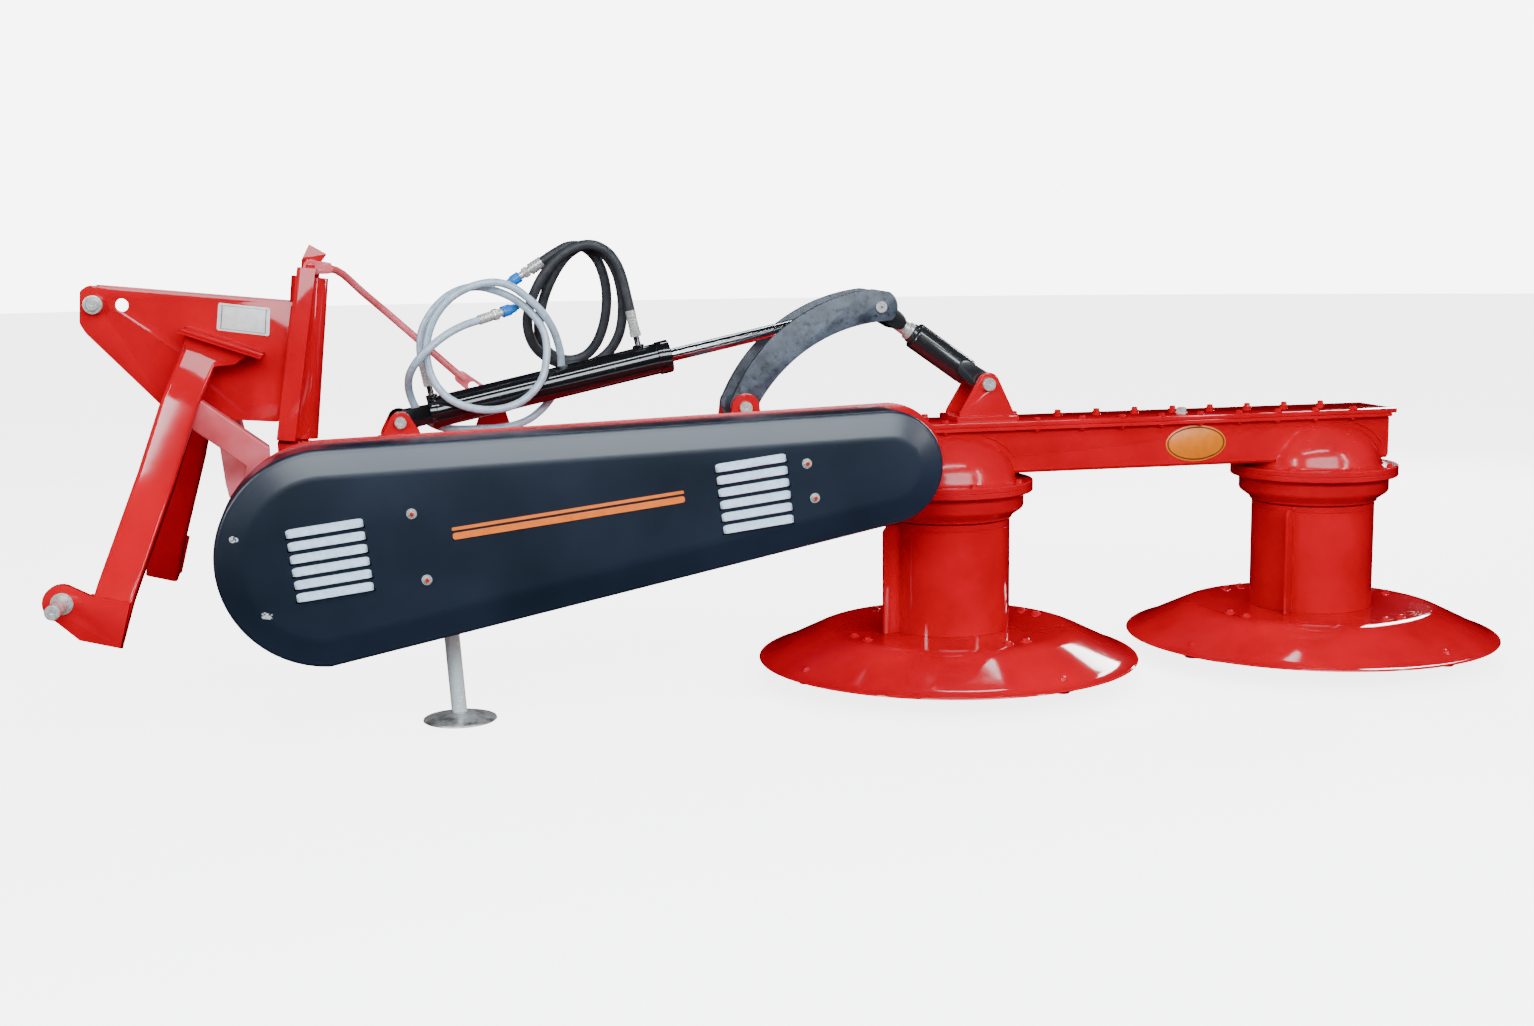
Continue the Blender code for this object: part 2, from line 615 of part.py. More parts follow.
def beam_pieces():
    """Trough, cover, two gear housings and the link's ears."""
    tail = LIFT_X - BEAM_TAIL
    web = box((tail, -BEAM_HALF, BEAM_BOTTOM), (BEAM_END, BEAM_HALF, LIP_TOP))
    lips = box((tail, -LIP_HALF, LIP_BOTTOM), (BEAM_END, LIP_HALF, LIP_TOP))
    pieces, cuts = [web, lips], []
    cuts.append(box((tail + WEB_WALL, -BEAM_HALF + WEB_WALL, BEAM_BOTTOM + WEB_WALL),
                    (BEAM_END - WEB_WALL, BEAM_HALF - WEB_WALL, LIP_TOP + 0.01)))
    for side in (-1, 1):
        a, b = side * (BEAM_HALF - 0.004), side * (FORK_INNER + FORK_PLATE + 0.020)
        pieces.append(cross_pin(LIFT_X, LIFT_Z, TRUNNION_R, min(a, b), max(a, b), 24))
        cuts.append(cross_pin(LIFT_X, LIFT_Z, TRUNNION_R - 0.015, min(a, b) - 0.02, max(a, b) + 0.01, 16))
    for name, x, hand in DRUMS:
        pieces.append(pin((x, 0, HOUSING_BOTTOM), (x, 0, BEAM_BOTTOM + 0.002), BEARING_R, 18))
        cuts.append(pin((x, 0, HOUSING_BOTTOM - 0.01), (x, 0, BEAM_BOTTOM + 0.02),
                        SHAFT_R + RUN, 16))
    inside = BEAM_HALF - WEB_WALL / 2
    for x in (0.100, DRUM_SPACING - 0.100):
        pieces.append(box((x, -inside, BEAM_BOTTOM + WEB_WALL / 2), (x + 0.012, inside, LIP_BOTTOM)))
    supports, pieces = pieces[-2:], pieces[:-2]
    trough = fuse(pieces, cuts)
    bore = pin((0.050, 0, LIFT_Z), (DRUM_SPACING - 0.050, 0, LIFT_Z), CROSS_R + RUN, 16)
    node("beam_trough", "red_paint", [trough, *supports], [bore], pivot="beam")

    low, high = LIP_TOP + GAP, COVER_TOP
    cover = [box((tail, -LIP_HALF, low), (BEAM_END + COVER_OVERHANG, LIP_HALF, high))]
    plug = (DRUM_SPACING * PLUG_SHARE, -0.010)
    cover.append(pin((*plug, high - 0.002), (*plug, high + 0.013), 0.014, 6))
    node("beam_cover", "red_paint", cover, pivot="beam")

    for name, x, hand in DRUMS:
        r0, wall, top = HOUSING_NECK_R, HOUSING_WALL, HOUSING_DOME_TOP
        band0, band1 = HOUSING_BOTTOM + 0.024, HOUSING_BOTTOM + 0.052
        ring0, ring1 = HOUSING_BOTTOM + 0.060, HOUSING_BOTTOM + 0.086
        rise = top - ring1
        dome = [(HOUSING_DOME_R * math.cos(a * DEG), ring1 + rise * math.sin(a * DEG))
                for a in (0, 22, 44, 64, 80)]
        inner = [((HOUSING_DOME_R - wall) * math.cos(a * DEG),
                  ring1 + (rise - wall) * math.sin(a * DEG)) for a in (75, 45, 0)]
        profile = [(r0 - wall, HOUSING_BOTTOM), (r0, HOUSING_BOTTOM), (HOUSING_BAND_R, band0),
                   (HOUSING_BAND_R, band1), (HOUSING_FLANGE_R, ring0),
                   (HOUSING_FLANGE_R, ring1), *dome, (0, top), (0, top - wall), *inner,
                   (HOUSING_DOME_R - wall, ring0)]
        shell = turned(profile, x)
        slot = box((x - 0.25, -BEAM_HALF - GAP, BEAM_BOTTOM - GAP), (x + 0.25, BEAM_HALF + GAP, top + 0.02))
        node("gear_housing_" + name, "red_paint", [shell], [slot], pivot="beam")

    base = COVER_TOP + GAP
    ears = [box((0.002, -0.065, base), (0.150, 0.065, base + 0.012))]
    ears += ear_pair(PIN_D, 0.027, (0.012, 0.142), base + 0.010, 0.040)
    node("link_ears", "red_paint", ears, [cross_pin(*PIN_D, PIN_D_R + GAP, -0.09, 0.09)], pivot="beam")
    node("link_pin", "zinc", [cross_pin(*PIN_D, PIN_D_R, -0.060, 0.060)], pivot="beam")


def ear_pair(eye, radius, foot, base, inner):
    """Two upright lugs about an eye, standing on a base."""
    outline = [(foot[1], base), (foot[1], base + 0.008), *arc(*eye, radius, 10, 170, 9),
               (foot[0], base + 0.008), (foot[0], base)]
    return [slab(outline, inner, inner + EAR), slab(outline, -inner - EAR, -inner)]


def drive_pieces():
    """Input shaft with the big pulley, belts, jack shaft and cross shaft."""
    front = PULLEY_BACK - GROOVES * GROOVE_PITCH - 0.004
    shaft = cross_pin(INPUT_X, INPUT_Z, DRIVE_R, front - 0.012, 0.165, 18)
    teeth = [(DRIVE_R * (1.0 if k % 2 else 0.80)) for k in range(18)]
    spline_end = rings([[(INPUT_X + r * math.cos(k * 20 * DEG), y, INPUT_Z + r * math.sin(k * 20 * DEG))
                         for k, r in enumerate(teeth)] for y in (0.160, 0.205)])
    node("input_shaft", "steel", [shaft, spline_end], pivot="input_drive")

    def pulley(radius, bore, hollow):
        half = 0.006
        middle = (PULLEY_BACK + front) / 2
        profile = [(bore, PULLEY_BACK)]
        if hollow:
            profile += [(0.040, PULLEY_BACK), (0.042, middle + half), (radius - 0.038, middle + half),
                        (radius - 0.034, PULLEY_BACK)]
        profile.append((radius, PULLEY_BACK))
        for k in range(GROOVES):
            y = PULLEY_BACK - 0.002 - GROOVE_PITCH * (k + 0.5)
            profile += [(radius, y + GROOVE_TOP / 2), (radius - GROOVE_DEPTH, y + GROOVE_BOTTOM / 2),
                        (radius - GROOVE_DEPTH, y - GROOVE_BOTTOM / 2), (radius, y - GROOVE_TOP / 2)]
        profile.append((radius, front))
        if hollow:
            profile += [(radius - 0.034, front), (radius - 0.038, middle - half), (0.042, middle - half),
                        (0.040, front)]
        profile.append((bore, front))
        return profile

    node("big_pulley", "dark_enamel",
         [turned_y(pulley(PULLEY_BIG, DRIVE_R + RUN, True), INPUT_X, INPUT_Z, 16)], pivot="input_drive")

    small = turned_y(pulley(PULLEY_SMALL, 0.0, False), LIFT_X, LIFT_Z, 12)
    jack = cross_pin(LIFT_X, LIFT_Z, DRIVE_R, PULLEY_BACK - 0.002, -JACK_R - 0.004, 12)
    gear = bevel_gear(JACK_TEETH, JACK_R, JACK_R)
    gear.data.transform(Matrix.Translation((LIFT_X, 0, LIFT_Z)) @ Matrix.Rotation(90 * DEG, 4, "X"))
    node("jack_shaft", "steel", [jack, small, gear], pivot="jack_drive")

    cross = pin((LIFT_X + JACK_R - 0.002, 0, LIFT_Z), (OUTER_X + PINION_R + 0.018, 0, LIFT_Z), CROSS_R, 13)
    wheels = []
    for x, way, teeth, radius, reach, phase in (
            (LIFT_X, 1, JACK_TEETH, JACK_R, JACK_R, 0.0),
            (0.0, -1, WHEEL_TEETH, WHEEL_R, PINION_R, 0.5),
            (OUTER_X, 1, WHEEL_TEETH, WHEEL_R, PINION_R, 0.5)):
        gear = bevel_gear(teeth, radius, reach, phase)
        gear.data.transform(Matrix.Translation((x, 0, LIFT_Z)) @ Matrix.Rotation(way * 90 * DEG, 4, "Y"))
        wheels.append(gear)
    node("cross_shaft", "steel", [cross, *wheels], pivot="cross_drive")

    slope = math.asin((PULLEY_BIG - PULLEY_SMALL) / math.hypot(LIFT_X - INPUT_X, LIFT_Z - INPUT_Z))
    base = math.atan2(LIFT_Z - INPUT_Z, LIFT_X - INPUT_X)
    top, low = 90 + (base - slope) / DEG, -90 + (base + slope) / DEG
    section = [(0.0012 + 0.0035, 0.0), (0.0012, 0.0)]
    for k in range(GROOVES):
        y = -0.002 - GROOVE_PITCH * (k + 0.5)
        wide, narrow = GROOVE_TOP / 2 - 0.0010, GROOVE_BOTTOM / 2 - 0.0003
        depth = 0.0020 - GROOVE_DEPTH
        section += [(0.0012, y + wide), (depth, y + narrow), (depth, y - narrow), (0.0012, y - wide)]
    width = -GROOVES * GROOVE_PITCH - 0.004
    section += [(0.0012, width), (0.0012 + 0.0035, width)]
    loops = []
    for cx, cz, radius, start, end, steps in ((INPUT_X, INPUT_Z, PULLEY_BIG, low + 360, top, 13),
                                              (LIFT_X, LIFT_Z, PULLEY_SMALL, top, low, 8)):
        flat_gain = 1 / math.cos((end - start) * DEG / (steps - 1) / 2)
        for i in range(steps):
            a = (start + (end - start) * i / (steps - 1)) * DEG
            loops.append([(cx + (radius + off) * flat_gain * math.cos(a), PULLEY_BACK + y,
                           cz + (radius + off) * flat_gain * math.sin(a)) for off, y in section])
    node("v_belts", "belt_rubber", [rings(loops, closed=True)], pivot="arm")


def guard_outline(inset, shift=0.0):
    """The guard's pear-shaped outline, drawn in by inset."""
    big, small = GUARD_BIG_R - inset, GUARD_SMALL_R - inset
    x = LIFT_X + shift
    reach = math.hypot(x - INPUT_X, LIFT_Z - INPUT_Z)
    base = math.atan2(LIFT_Z - INPUT_Z, x - INPUT_X)
    top = 90 + (base - math.asin((big - small) / reach)) / DEG
    low = -90 + (base + math.asin((big - GUARD_CORNER - small) / reach)) / DEG
    corner = low - math.degrees(math.acos((big - GUARD_CORNER) / big))
    return (arc(INPUT_X, INPUT_Z, big, corner + 360, top, 19)
            + arc(x, LIFT_Z, small, top, low, 12))


def guard_pieces():
    """Red backing plate on its posts and the black cover with its louvres."""
    back = GUARD_BACK + GAP
    outline = guard_outline(-PLATE_MARGIN, PLATE_SHIFT)
    pieces = [slab(outline, back, back + GUARD_PLATE)]
    for x in (-1.060, -0.560):
        pieces.append(cross_pin(x, (ARM_BOTTOM + ARM_TOP) / 2, 0.015, back + 0.003, -ARM_HALF - GAP))
    cuts = [cross_pin(x, z, 0.034, back - 0.02, back + 0.03, 20)
            for x, z in ((INPUT_X, INPUT_Z), (LIFT_X, LIFT_Z))]
    node("guard_back_plate", "red_paint", pieces, cuts, pivot="arm")

    side = GUARD_FRONT + GUARD_SLOPE + GUARD_EDGE
    levels = [(0.0, GUARD_BACK), (0.0, side), (GUARD_EDGE * 0.3, side - GUARD_EDGE * 0.7),
              (GUARD_EDGE, side - GUARD_EDGE), (GUARD_BAND, GUARD_FRONT)]
    loops = []
    for inset, y in reversed(levels):
        loops.append([(x, y, z) for x, z in guard_outline(inset)])
    for inset, y in levels:
        deep = y if y == GUARD_BACK else y + GUARD_SKIN
        loops.append([(x, deep, z) for x, z in guard_outline(inset + GUARD_SKIN)])
    pieces = [rings(loops)]
    tilt = math.atan2(LIFT_Z - INPUT_Z, LIFT_X - INPUT_X)
    ux, uz = math.cos(tilt), math.sin(tilt)
    for cx, cz in (LOUVRE_LEFT, LOUVRE_RIGHT):
        for k in range(LOUVRES):
            off = (k - (LOUVRES - 1) / 2) * LOUVRE_PITCH
            mx, mz = cx - uz * off, cz + ux * off
            high, half = LOUVRE_HEIGHT / 2, LOUVRE_LENGTH / 2
            loops = []
            for share in (-1.0, 1.0):
                row = [(high, 0.001), (high, -0.0005), (-high * 0.6, -LOUVRE_RISE), (-high, -LOUVRE_RISE), (-high, 0.001)]
                loops.append([(mx + ux * half * share - uz * v, GUARD_FRONT + y, mz + uz * half * share + ux * v)
                              for v, y in row])
            pieces.append(rings(loops))
    node("guard_cover", "black_paint", pieces, pivot="arm")

    front = back + GUARD_PLATE + GAP
    tube = cross_pin(INPUT_X, INPUT_Z, 0.050, front, 0.140, 24)
    block = box((INPUT_X - 0.002, -0.050, INPUT_Z + 0.030), (INPUT_X + 0.110, 0.050, ARM_BOTTOM - GAP))
    node("input_housing", "red_paint", [tube, block],
         [cross_pin(INPUT_X, INPUT_Z, DRIVE_R + 2 * RUN, front - 0.01, 0.150, 18)], pivot="arm")


def arm_pieces():
    """Main arm, its pins and ears, and the stand."""
    pieces = [box((ARM_START, -ARM_HALF, ARM_BOTTOM), (ARM_END, ARM_HALF, ARM_TOP))]
    cuts = [box((ARM_START - 0.01, -ARM_HALF + ARM_WALL, ARM_BOTTOM + ARM_WALL),
                (ARM_END - 0.012, ARM_HALF - ARM_WALL, ARM_TOP - ARM_WALL))]
    cheek = arc(TILT_X, TILT_Z, CHEEK_R, 90, 270, 8)
    cheek += [(ARM_START + 0.05, ARM_BOTTOM + 0.004), (ARM_START + 0.09, ARM_BOTTOM + 0.040),
              (ARM_START + 0.09, ARM_TOP - 0.040), (ARM_START + 0.05, ARM_TOP - 0.004)]
    fork = [(-0.500, LIFT_Z - 0.052), (-0.500, LIFT_Z + 0.052), (-0.430, LIFT_Z + FORK_R * 0.98)]
    fork += arc(LIFT_X, LIFT_Z, FORK_R, 90, -90, 9) + [(-0.430, LIFT_Z - FORK_R * 0.98)]
    tie = [(-1.072, ARM_TOP - 0.035), (-1.072, ARM_TOP + 0.012), *arc(*TIE_EYE, 0.019, 170, 10, 6),
           (-0.992, ARM_TOP + 0.012), (-0.992, ARM_TOP - 0.035)]
    for side in (-1, 1):
        pieces.append(slab(cheek, *sorted((side * (ARM_HALF - 0.001), side * (ARM_HALF + CHEEK)))))
        pieces.append(slab(fork, *sorted((side * FORK_INNER, side * (FORK_INNER + FORK_PLATE)))))
        low, high = sorted((side * (ARM_HALF - 0.004), side * (FORK_INNER + 0.002)))
        pieces.append(box((-0.520, low, ARM_BOTTOM + 0.006), (ARM_END - 0.001, high, ARM_TOP - 0.004)))
    pieces.append(slab(tie, ARM_HALF - 0.002, ARM_HALF + 0.008))
    pieces.append(cross_pin(*TIE_EYE, 0.008, ARM_HALF + 0.004, ARM_HALF + 0.022, 10))
    pieces.append(cross_pin(*TIE_EYE, 0.013, ARM_HALF + 0.0205, ARM_HALF + 0.026, 10))
    pieces.append(stand_bar(0.450, ARM_TOP, SLEEVE_R, 14))
    pieces.append(box((-1.190, STAND_Y + 0.012, 0.490), (-1.142, -ARM_HALF + 0.002, 0.575)))
    cuts.append(cross_pin(TILT_X, TILT_Z, TILT_PIN_R + RUN, -0.1, 0.1, 14))
    cuts.append(cross_pin(LIFT_X, LIFT_Z, TRUNNION_R + 0.0006, -0.13, 0.13, 24))
    cuts.append(stand_bar(0.440, ARM_TOP + 0.01, STAND_R + 2 * RUN, 14))
    node("main_arm", "red_paint", pieces, cuts, pivot="arm")
    half = ARM_HALF + CHEEK
    node("tilt_pin", "zinc", [cross_pin(TILT_X, TILT_Z, TILT_PIN_R, -half - 0.006, half + 0.006, 14)],
         pivot="arm")

    base = ARM_TOP + GAP
    ears = [box((PIN_A[0] - 0.046, -0.050, base), (PIN_A[0] + 0.052, 0.050, base + 0.007))]
    ears += ear_pair(PIN_A, 0.024, (PIN_A[0] - 0.040, PIN_A[0] + 0.0434), base + 0.005, 0.040)
    node("cylinder_ears", "red_paint", ears, [cross_pin(*PIN_A, PIN_A_R + GAP, -0.09, 0.09)], pivot="arm")
    node("cylinder_pin", "zinc", [cross_pin(*PIN_A, PIN_A_R, -0.058, 0.058)], pivot="arm")
    ears = [box((PIN_B[0] - 0.036, -0.0705, base), (PIN_B[0] + 0.036, 0.0705, base + 0.010))]
    ears += ear_pair(PIN_B, 0.032, (PIN_B[0] - 0.036, PIN_B[0] + 0.036), base + 0.006, 0.0592)
    node("rocker_ears", "red_paint", ears, [cross_pin(*PIN_B, PIN_B_R + GAP, -0.09, 0.09)], pivot="arm")
    node("rocker_pin", "zinc", [cross_pin(*PIN_B, PIN_B_R, -0.078, 0.078)], pivot="arm")

    dish = turned([(0, 0), (FOOT_R, 0), (FOOT_R, 0.004), (FOOT_R * 0.62, FOOT_H * 0.6),
                   (STAND_R + 0.006, FOOT_H), (0, FOOT_H)], STAND_X, STAND_Y, 20)
    node("stand_leg", "zinc", [stand_bar(0.006, STAND_TOP, STAND_R, 14), dish], pivot="stand")


def stand_bar(z0, z1, radius, facets):
    lean = math.tan(STAND_LEAN * DEG)
    return pin((STAND_X - z0 * lean, STAND_Y, z0), (STAND_X - z1 * lean, STAND_Y, z1), radius, facets)


def lift_pieces():
    """Rocker, link, cylinder barrel and piston rod."""
    outer = arc_through(*ROCKER_OUTER, 8)
    inner = arc_through(*ROCKER_INNER, 7)
    outline = outer + arc(*PIN_C, 0.039, 60, -50, 5) + inner + arc(*PIN_B, 0.032, 0, -165, 6)
    pieces = []
    inside, outside = ROCKER_GAP, ROCKER_GAP + ROCKER_PLATE
    for side in (-1, 1):
        pieces.append(slab(outline, *sorted((side * inside, side * outside))))
        pieces.append(cross_pin(*PIN_C, PIN_A_R, *sorted((side * (LINK_CHEEK[1] + RUN), side * (outside + 0.006)))))
    pieces.append(cross_pin(*PIN_B, 0.024, -inside - 0.002, inside + 0.002, 14))
    node("rocker", "dark_enamel", pieces, [cross_pin(*PIN_B, PIN_B_R + RUN, -0.09, 0.09, ROUND)], pivot="rocker")

    start, end = along(PIN_C, PIN_D, LINK_BARREL[0]), along(PIN_C, PIN_D, LINK_BARREL[1])
    length = math.hypot(PIN_D[0] - PIN_C[0], PIN_D[1] - PIN_C[1])
    pieces = []
    reach = along(PIN_C, PIN_D, LINK_BARREL[0] + 0.012)
    for side in (-1, 1):
        pieces.append(slab(rounded_bar(PIN_C, reach, 0.024, 0.020, 7),
                           *sorted((side * LINK_CHEEK[0], side * LINK_CHEEK[1]))))
    pieces.append(pin(flat(start), flat(end), LINK_BARREL_R, 20))
    pieces.append(slab(rounded_bar(along(PIN_C, PIN_D, length - 0.060), PIN_D, 0.020, 0.024, 7), -0.036, 0.036))
    node("lift_link", "dark_enamel", pieces,
         [cross_pin(*PIN_C, PIN_A_R + 2 * RUN, -0.06, 0.06, 18), cross_pin(*PIN_D, PIN_D_R + RUN, -0.06, 0.06, ROUND)],
         pivot="link")

    body_end = along(PIN_A, PIN_C, BARREL_END)
    pieces = [pin(flat(along(PIN_A, PIN_C, BARREL_START)), flat(body_end), BARREL_R, 20)]
    pieces.append(pin(flat(along(PIN_A, PIN_C, BARREL_END - 0.028)), flat(body_end), BARREL_R + 0.0025, 20))
    pieces.append(slab(rounded_bar(PIN_A, along(PIN_A, PIN_C, BARREL_START + 0.004), 0.024, 0.019, 8), -0.018, 0.018))
    pieces.append(cross_pin(*PIN_A, 0.024, -0.0385, 0.0385, 16))
    for where, tip in zip(PORTS, PORT_TIPS):
        pieces.append(pin(flat(along(PIN_A, PIN_C, where, BARREL_R - 0.004)),
                          flat(along(PIN_A, PIN_C, where, BARREL_R + 0.024)), 0.0065, 10))
        pieces.append(pin(flat(along(PIN_A, PIN_C, where, BARREL_R - 0.004)),
                          flat(along(PIN_A, PIN_C, where, BARREL_R + 0.005)), 0.013, 12))
    cuts = [cross_pin(*PIN_A, PIN_A_R + RUN, -0.06, 0.06, ROUND),
            pin(flat(along(PIN_A, PIN_C, BARREL_START + 0.014)), flat(along(PIN_A, PIN_C, BARREL_END - 0.020)),
                BARREL_R - 0.005, 14),
            pin(flat(along(PIN_A, PIN_C, BARREL_END - 0.040)), flat(along(PIN_A, PIN_C, BARREL_END + 0.01)),
                ROD_R + 2 * RUN, 14)]
    node("cylinder_barrel", "dark_enamel", pieces, cuts, pivot="barrel")
    length = math.hypot(PIN_C[0] - PIN_A[0], PIN_C[1] - PIN_A[1])
    pieces = [pin(flat(along(PIN_A, PIN_C, 0.520)), flat(along(PIN_A, PIN_C, length - 0.020)), ROD_R, 14),
              pin(flat(along(PIN_A, PIN_C, 0.515)), flat(along(PIN_A, PIN_C, 0.540)), BARREL_R - 0.0062, 14),
              cross_pin(*PIN_C, 0.024, -0.018, 0.018, 20)]
    node("piston_rod", "chrome", pieces, pivot="piston")

    for label, where, tip in zip(("base", "rod"), PORTS, PORT_TIPS):
        a, b, c, d = (flat(along(PIN_A, PIN_C, where, off)) for off in (
            BARREL_R + 0.024 + GAP, BARREL_R + 0.038, BARREL_R + 0.036, tip))
        pieces = [pin(a, b, 0.013, 6), pin(c, d, 0.0112, 12)]
        node(label + "_port_fitting", "zinc", pieces, pivot="barrel")


# Free hoses: the passes of each loop, from the port to the coupler
GREY_R, BLACK_R = 0.0085, 0.0110
HOSE_STEP = 0.034
GREY_PATH = (
    (-1.186, 0.000, 0.820), (-1.166, 0.000, 0.863), (-1.134, 0.000, 0.899), (-1.097, 0.000, 0.919),
    (-1.058, 0.000, 0.924), (-1.014, -0.002, 0.912), (-0.972, -0.006, 0.889), (-0.934, -0.011, 0.848),
    (-0.918, -0.022, 0.800), (-0.930, -0.042, 0.730), (-0.962, -0.051, 0.691), (-1.000, -0.054, 0.670),
    (-1.044, -0.054, 0.663), (-1.084, -0.052, 0.668), (-1.124, -0.048, 0.684), (-1.156, -0.041, 0.716),
    (-1.174, -0.034, 0.767), (-1.170, -0.030, 0.825), (-1.147, -0.028, 0.873), (-1.113, -0.027, 0.907),
    (-1.073, -0.028, 0.926), (-1.030, -0.029, 0.934), (-0.990, -0.028, 0.924), (-0.943, -0.024, 0.887),
    (-0.913, -0.012, 0.851), (-0.892, 0.010, 0.808), (-0.881, 0.032, 0.757), (-0.889, 0.049, 0.704),
    (-0.914, 0.053, 0.662), (-0.958, 0.051, 0.628), (-1.007, 0.048, 0.6155), (-1.060, 0.046, 0.6140),
    (-1.120, 0.043, 0.6155), (-1.162, 0.038, 0.627), (-1.191, 0.033, 0.652), (-1.208, 0.024, 0.685),
    (-1.214, 0.002, 0.713), (-1.213, -0.027, 0.738), (-1.203, -0.049, 0.762), (-1.186, -0.060, 0.783),
    (-1.163, -0.058, 0.804), (-1.135, -0.046, 0.824),
    (-1.101, -0.031, 0.841), (-1.062, -0.016, 0.853))
BLACK_PATH = (
    (-0.743, 0.000, 0.925), (-0.758, 0.000, 0.968), (-0.785, 0.000, 1.000), (-0.822, 0.000, 1.011),
    (-0.866, 0.002, 0.996), (-0.912, 0.007, 0.953), (-0.942, 0.016, 0.897), (-0.953, 0.029, 0.842),
    (-0.938, 0.046, 0.793), (-0.902, 0.064, 0.761), (-0.857, 0.074, 0.745), (-0.815, 0.072, 0.747),
    (-0.778, 0.060, 0.768), (-0.752, 0.046, 0.807), (-0.742, 0.036, 0.860), (-0.746, 0.030, 0.915),
    (-0.762, 0.027, 0.965), (-0.795, 0.027, 1.002), (-0.835, 0.027, 1.006), (-0.872, 0.030, 0.977),
    (-0.903, 0.036, 0.925), (-0.921, 0.049, 0.868), (-0.924, 0.069, 0.818), (-0.905, 0.090, 0.779),
    (-0.868, 0.101, 0.757), (-0.826, 0.100, 0.761), (-0.795, 0.087, 0.792), (-0.777, 0.072, 0.845),
    (-0.773, 0.061, 0.905), (-0.785, 0.055, 0.960), (-0.808, 0.054, 0.996), (-0.842, 0.054, 1.010),
    (-0.880, 0.056, 0.996), (-0.914, 0.058, 0.975))


def hose_pieces():
    """Each hose, its crimped coupler and its dust cap."""
    for label, tip, off, path, radius in (("grey", PORTS[0], PORT_TIPS[0], GREY_PATH, GREY_R),
                                          ("black", PORTS[1], PORT_TIPS[1], BLACK_PATH, BLACK_R)):
        start = Vector(flat(along(PIN_A, PIN_C, tip, off + GAP)))
        up = Vector(flat(along(PIN_A, PIN_C, tip, off + 0.034)))
        points, length = spline([start, up, *path], HOSE_STEP)
        points[1] = start + (up - start).normalized() * HOSE_STEP * 0.8
        least = min((a - b).length - 2 * radius for i, a in enumerate(dense(points))
                    for b in dense(points)[i + 24:])
        print(f"{label} hose: {length:.3f} m, {len(points)} points, least gap {least * 1000:.2f} mm")
        made = tube_curve(label + "_hose", points, radius, 1)
        made.data.materials.append(paint(label + "_hose"))
        attach(made, "barrel")
        way = (points[-1] - points[-2]).normalized()
        spots = [points[-1] + way * d for d in (GAP, 0.032, 0.036, 0.048, 0.058)]
        steel = [pin(spots[0], spots[1], radius + 0.0022, 14), pin(spots[1] - way * 0.004, spots[4], 0.0085, 12),
                 pin(spots[2], spots[3], 0.0135, 6)]
        node(label + "_coupler", "zinc", steel, pivot="barrel")
        far = spots[4] + way * GAP
        cap = [pin(far, far + way * 0.020, 0.0125, 12), pin(far + way * 0.018, far + way * 0.034, 0.0105, 12, 0.0085),
               pin(far + way * 0.030, far + way * 0.042, 0.0060, 10)]
        node(label + "_cap", "blue_cap", cap, pivot="barrel")


def dense(points):
    """Six points on each straight stretch, for measuring."""
    return [a.lerp(b, k / 6) for a, b in zip(points, points[1:]) for k in range(6)]


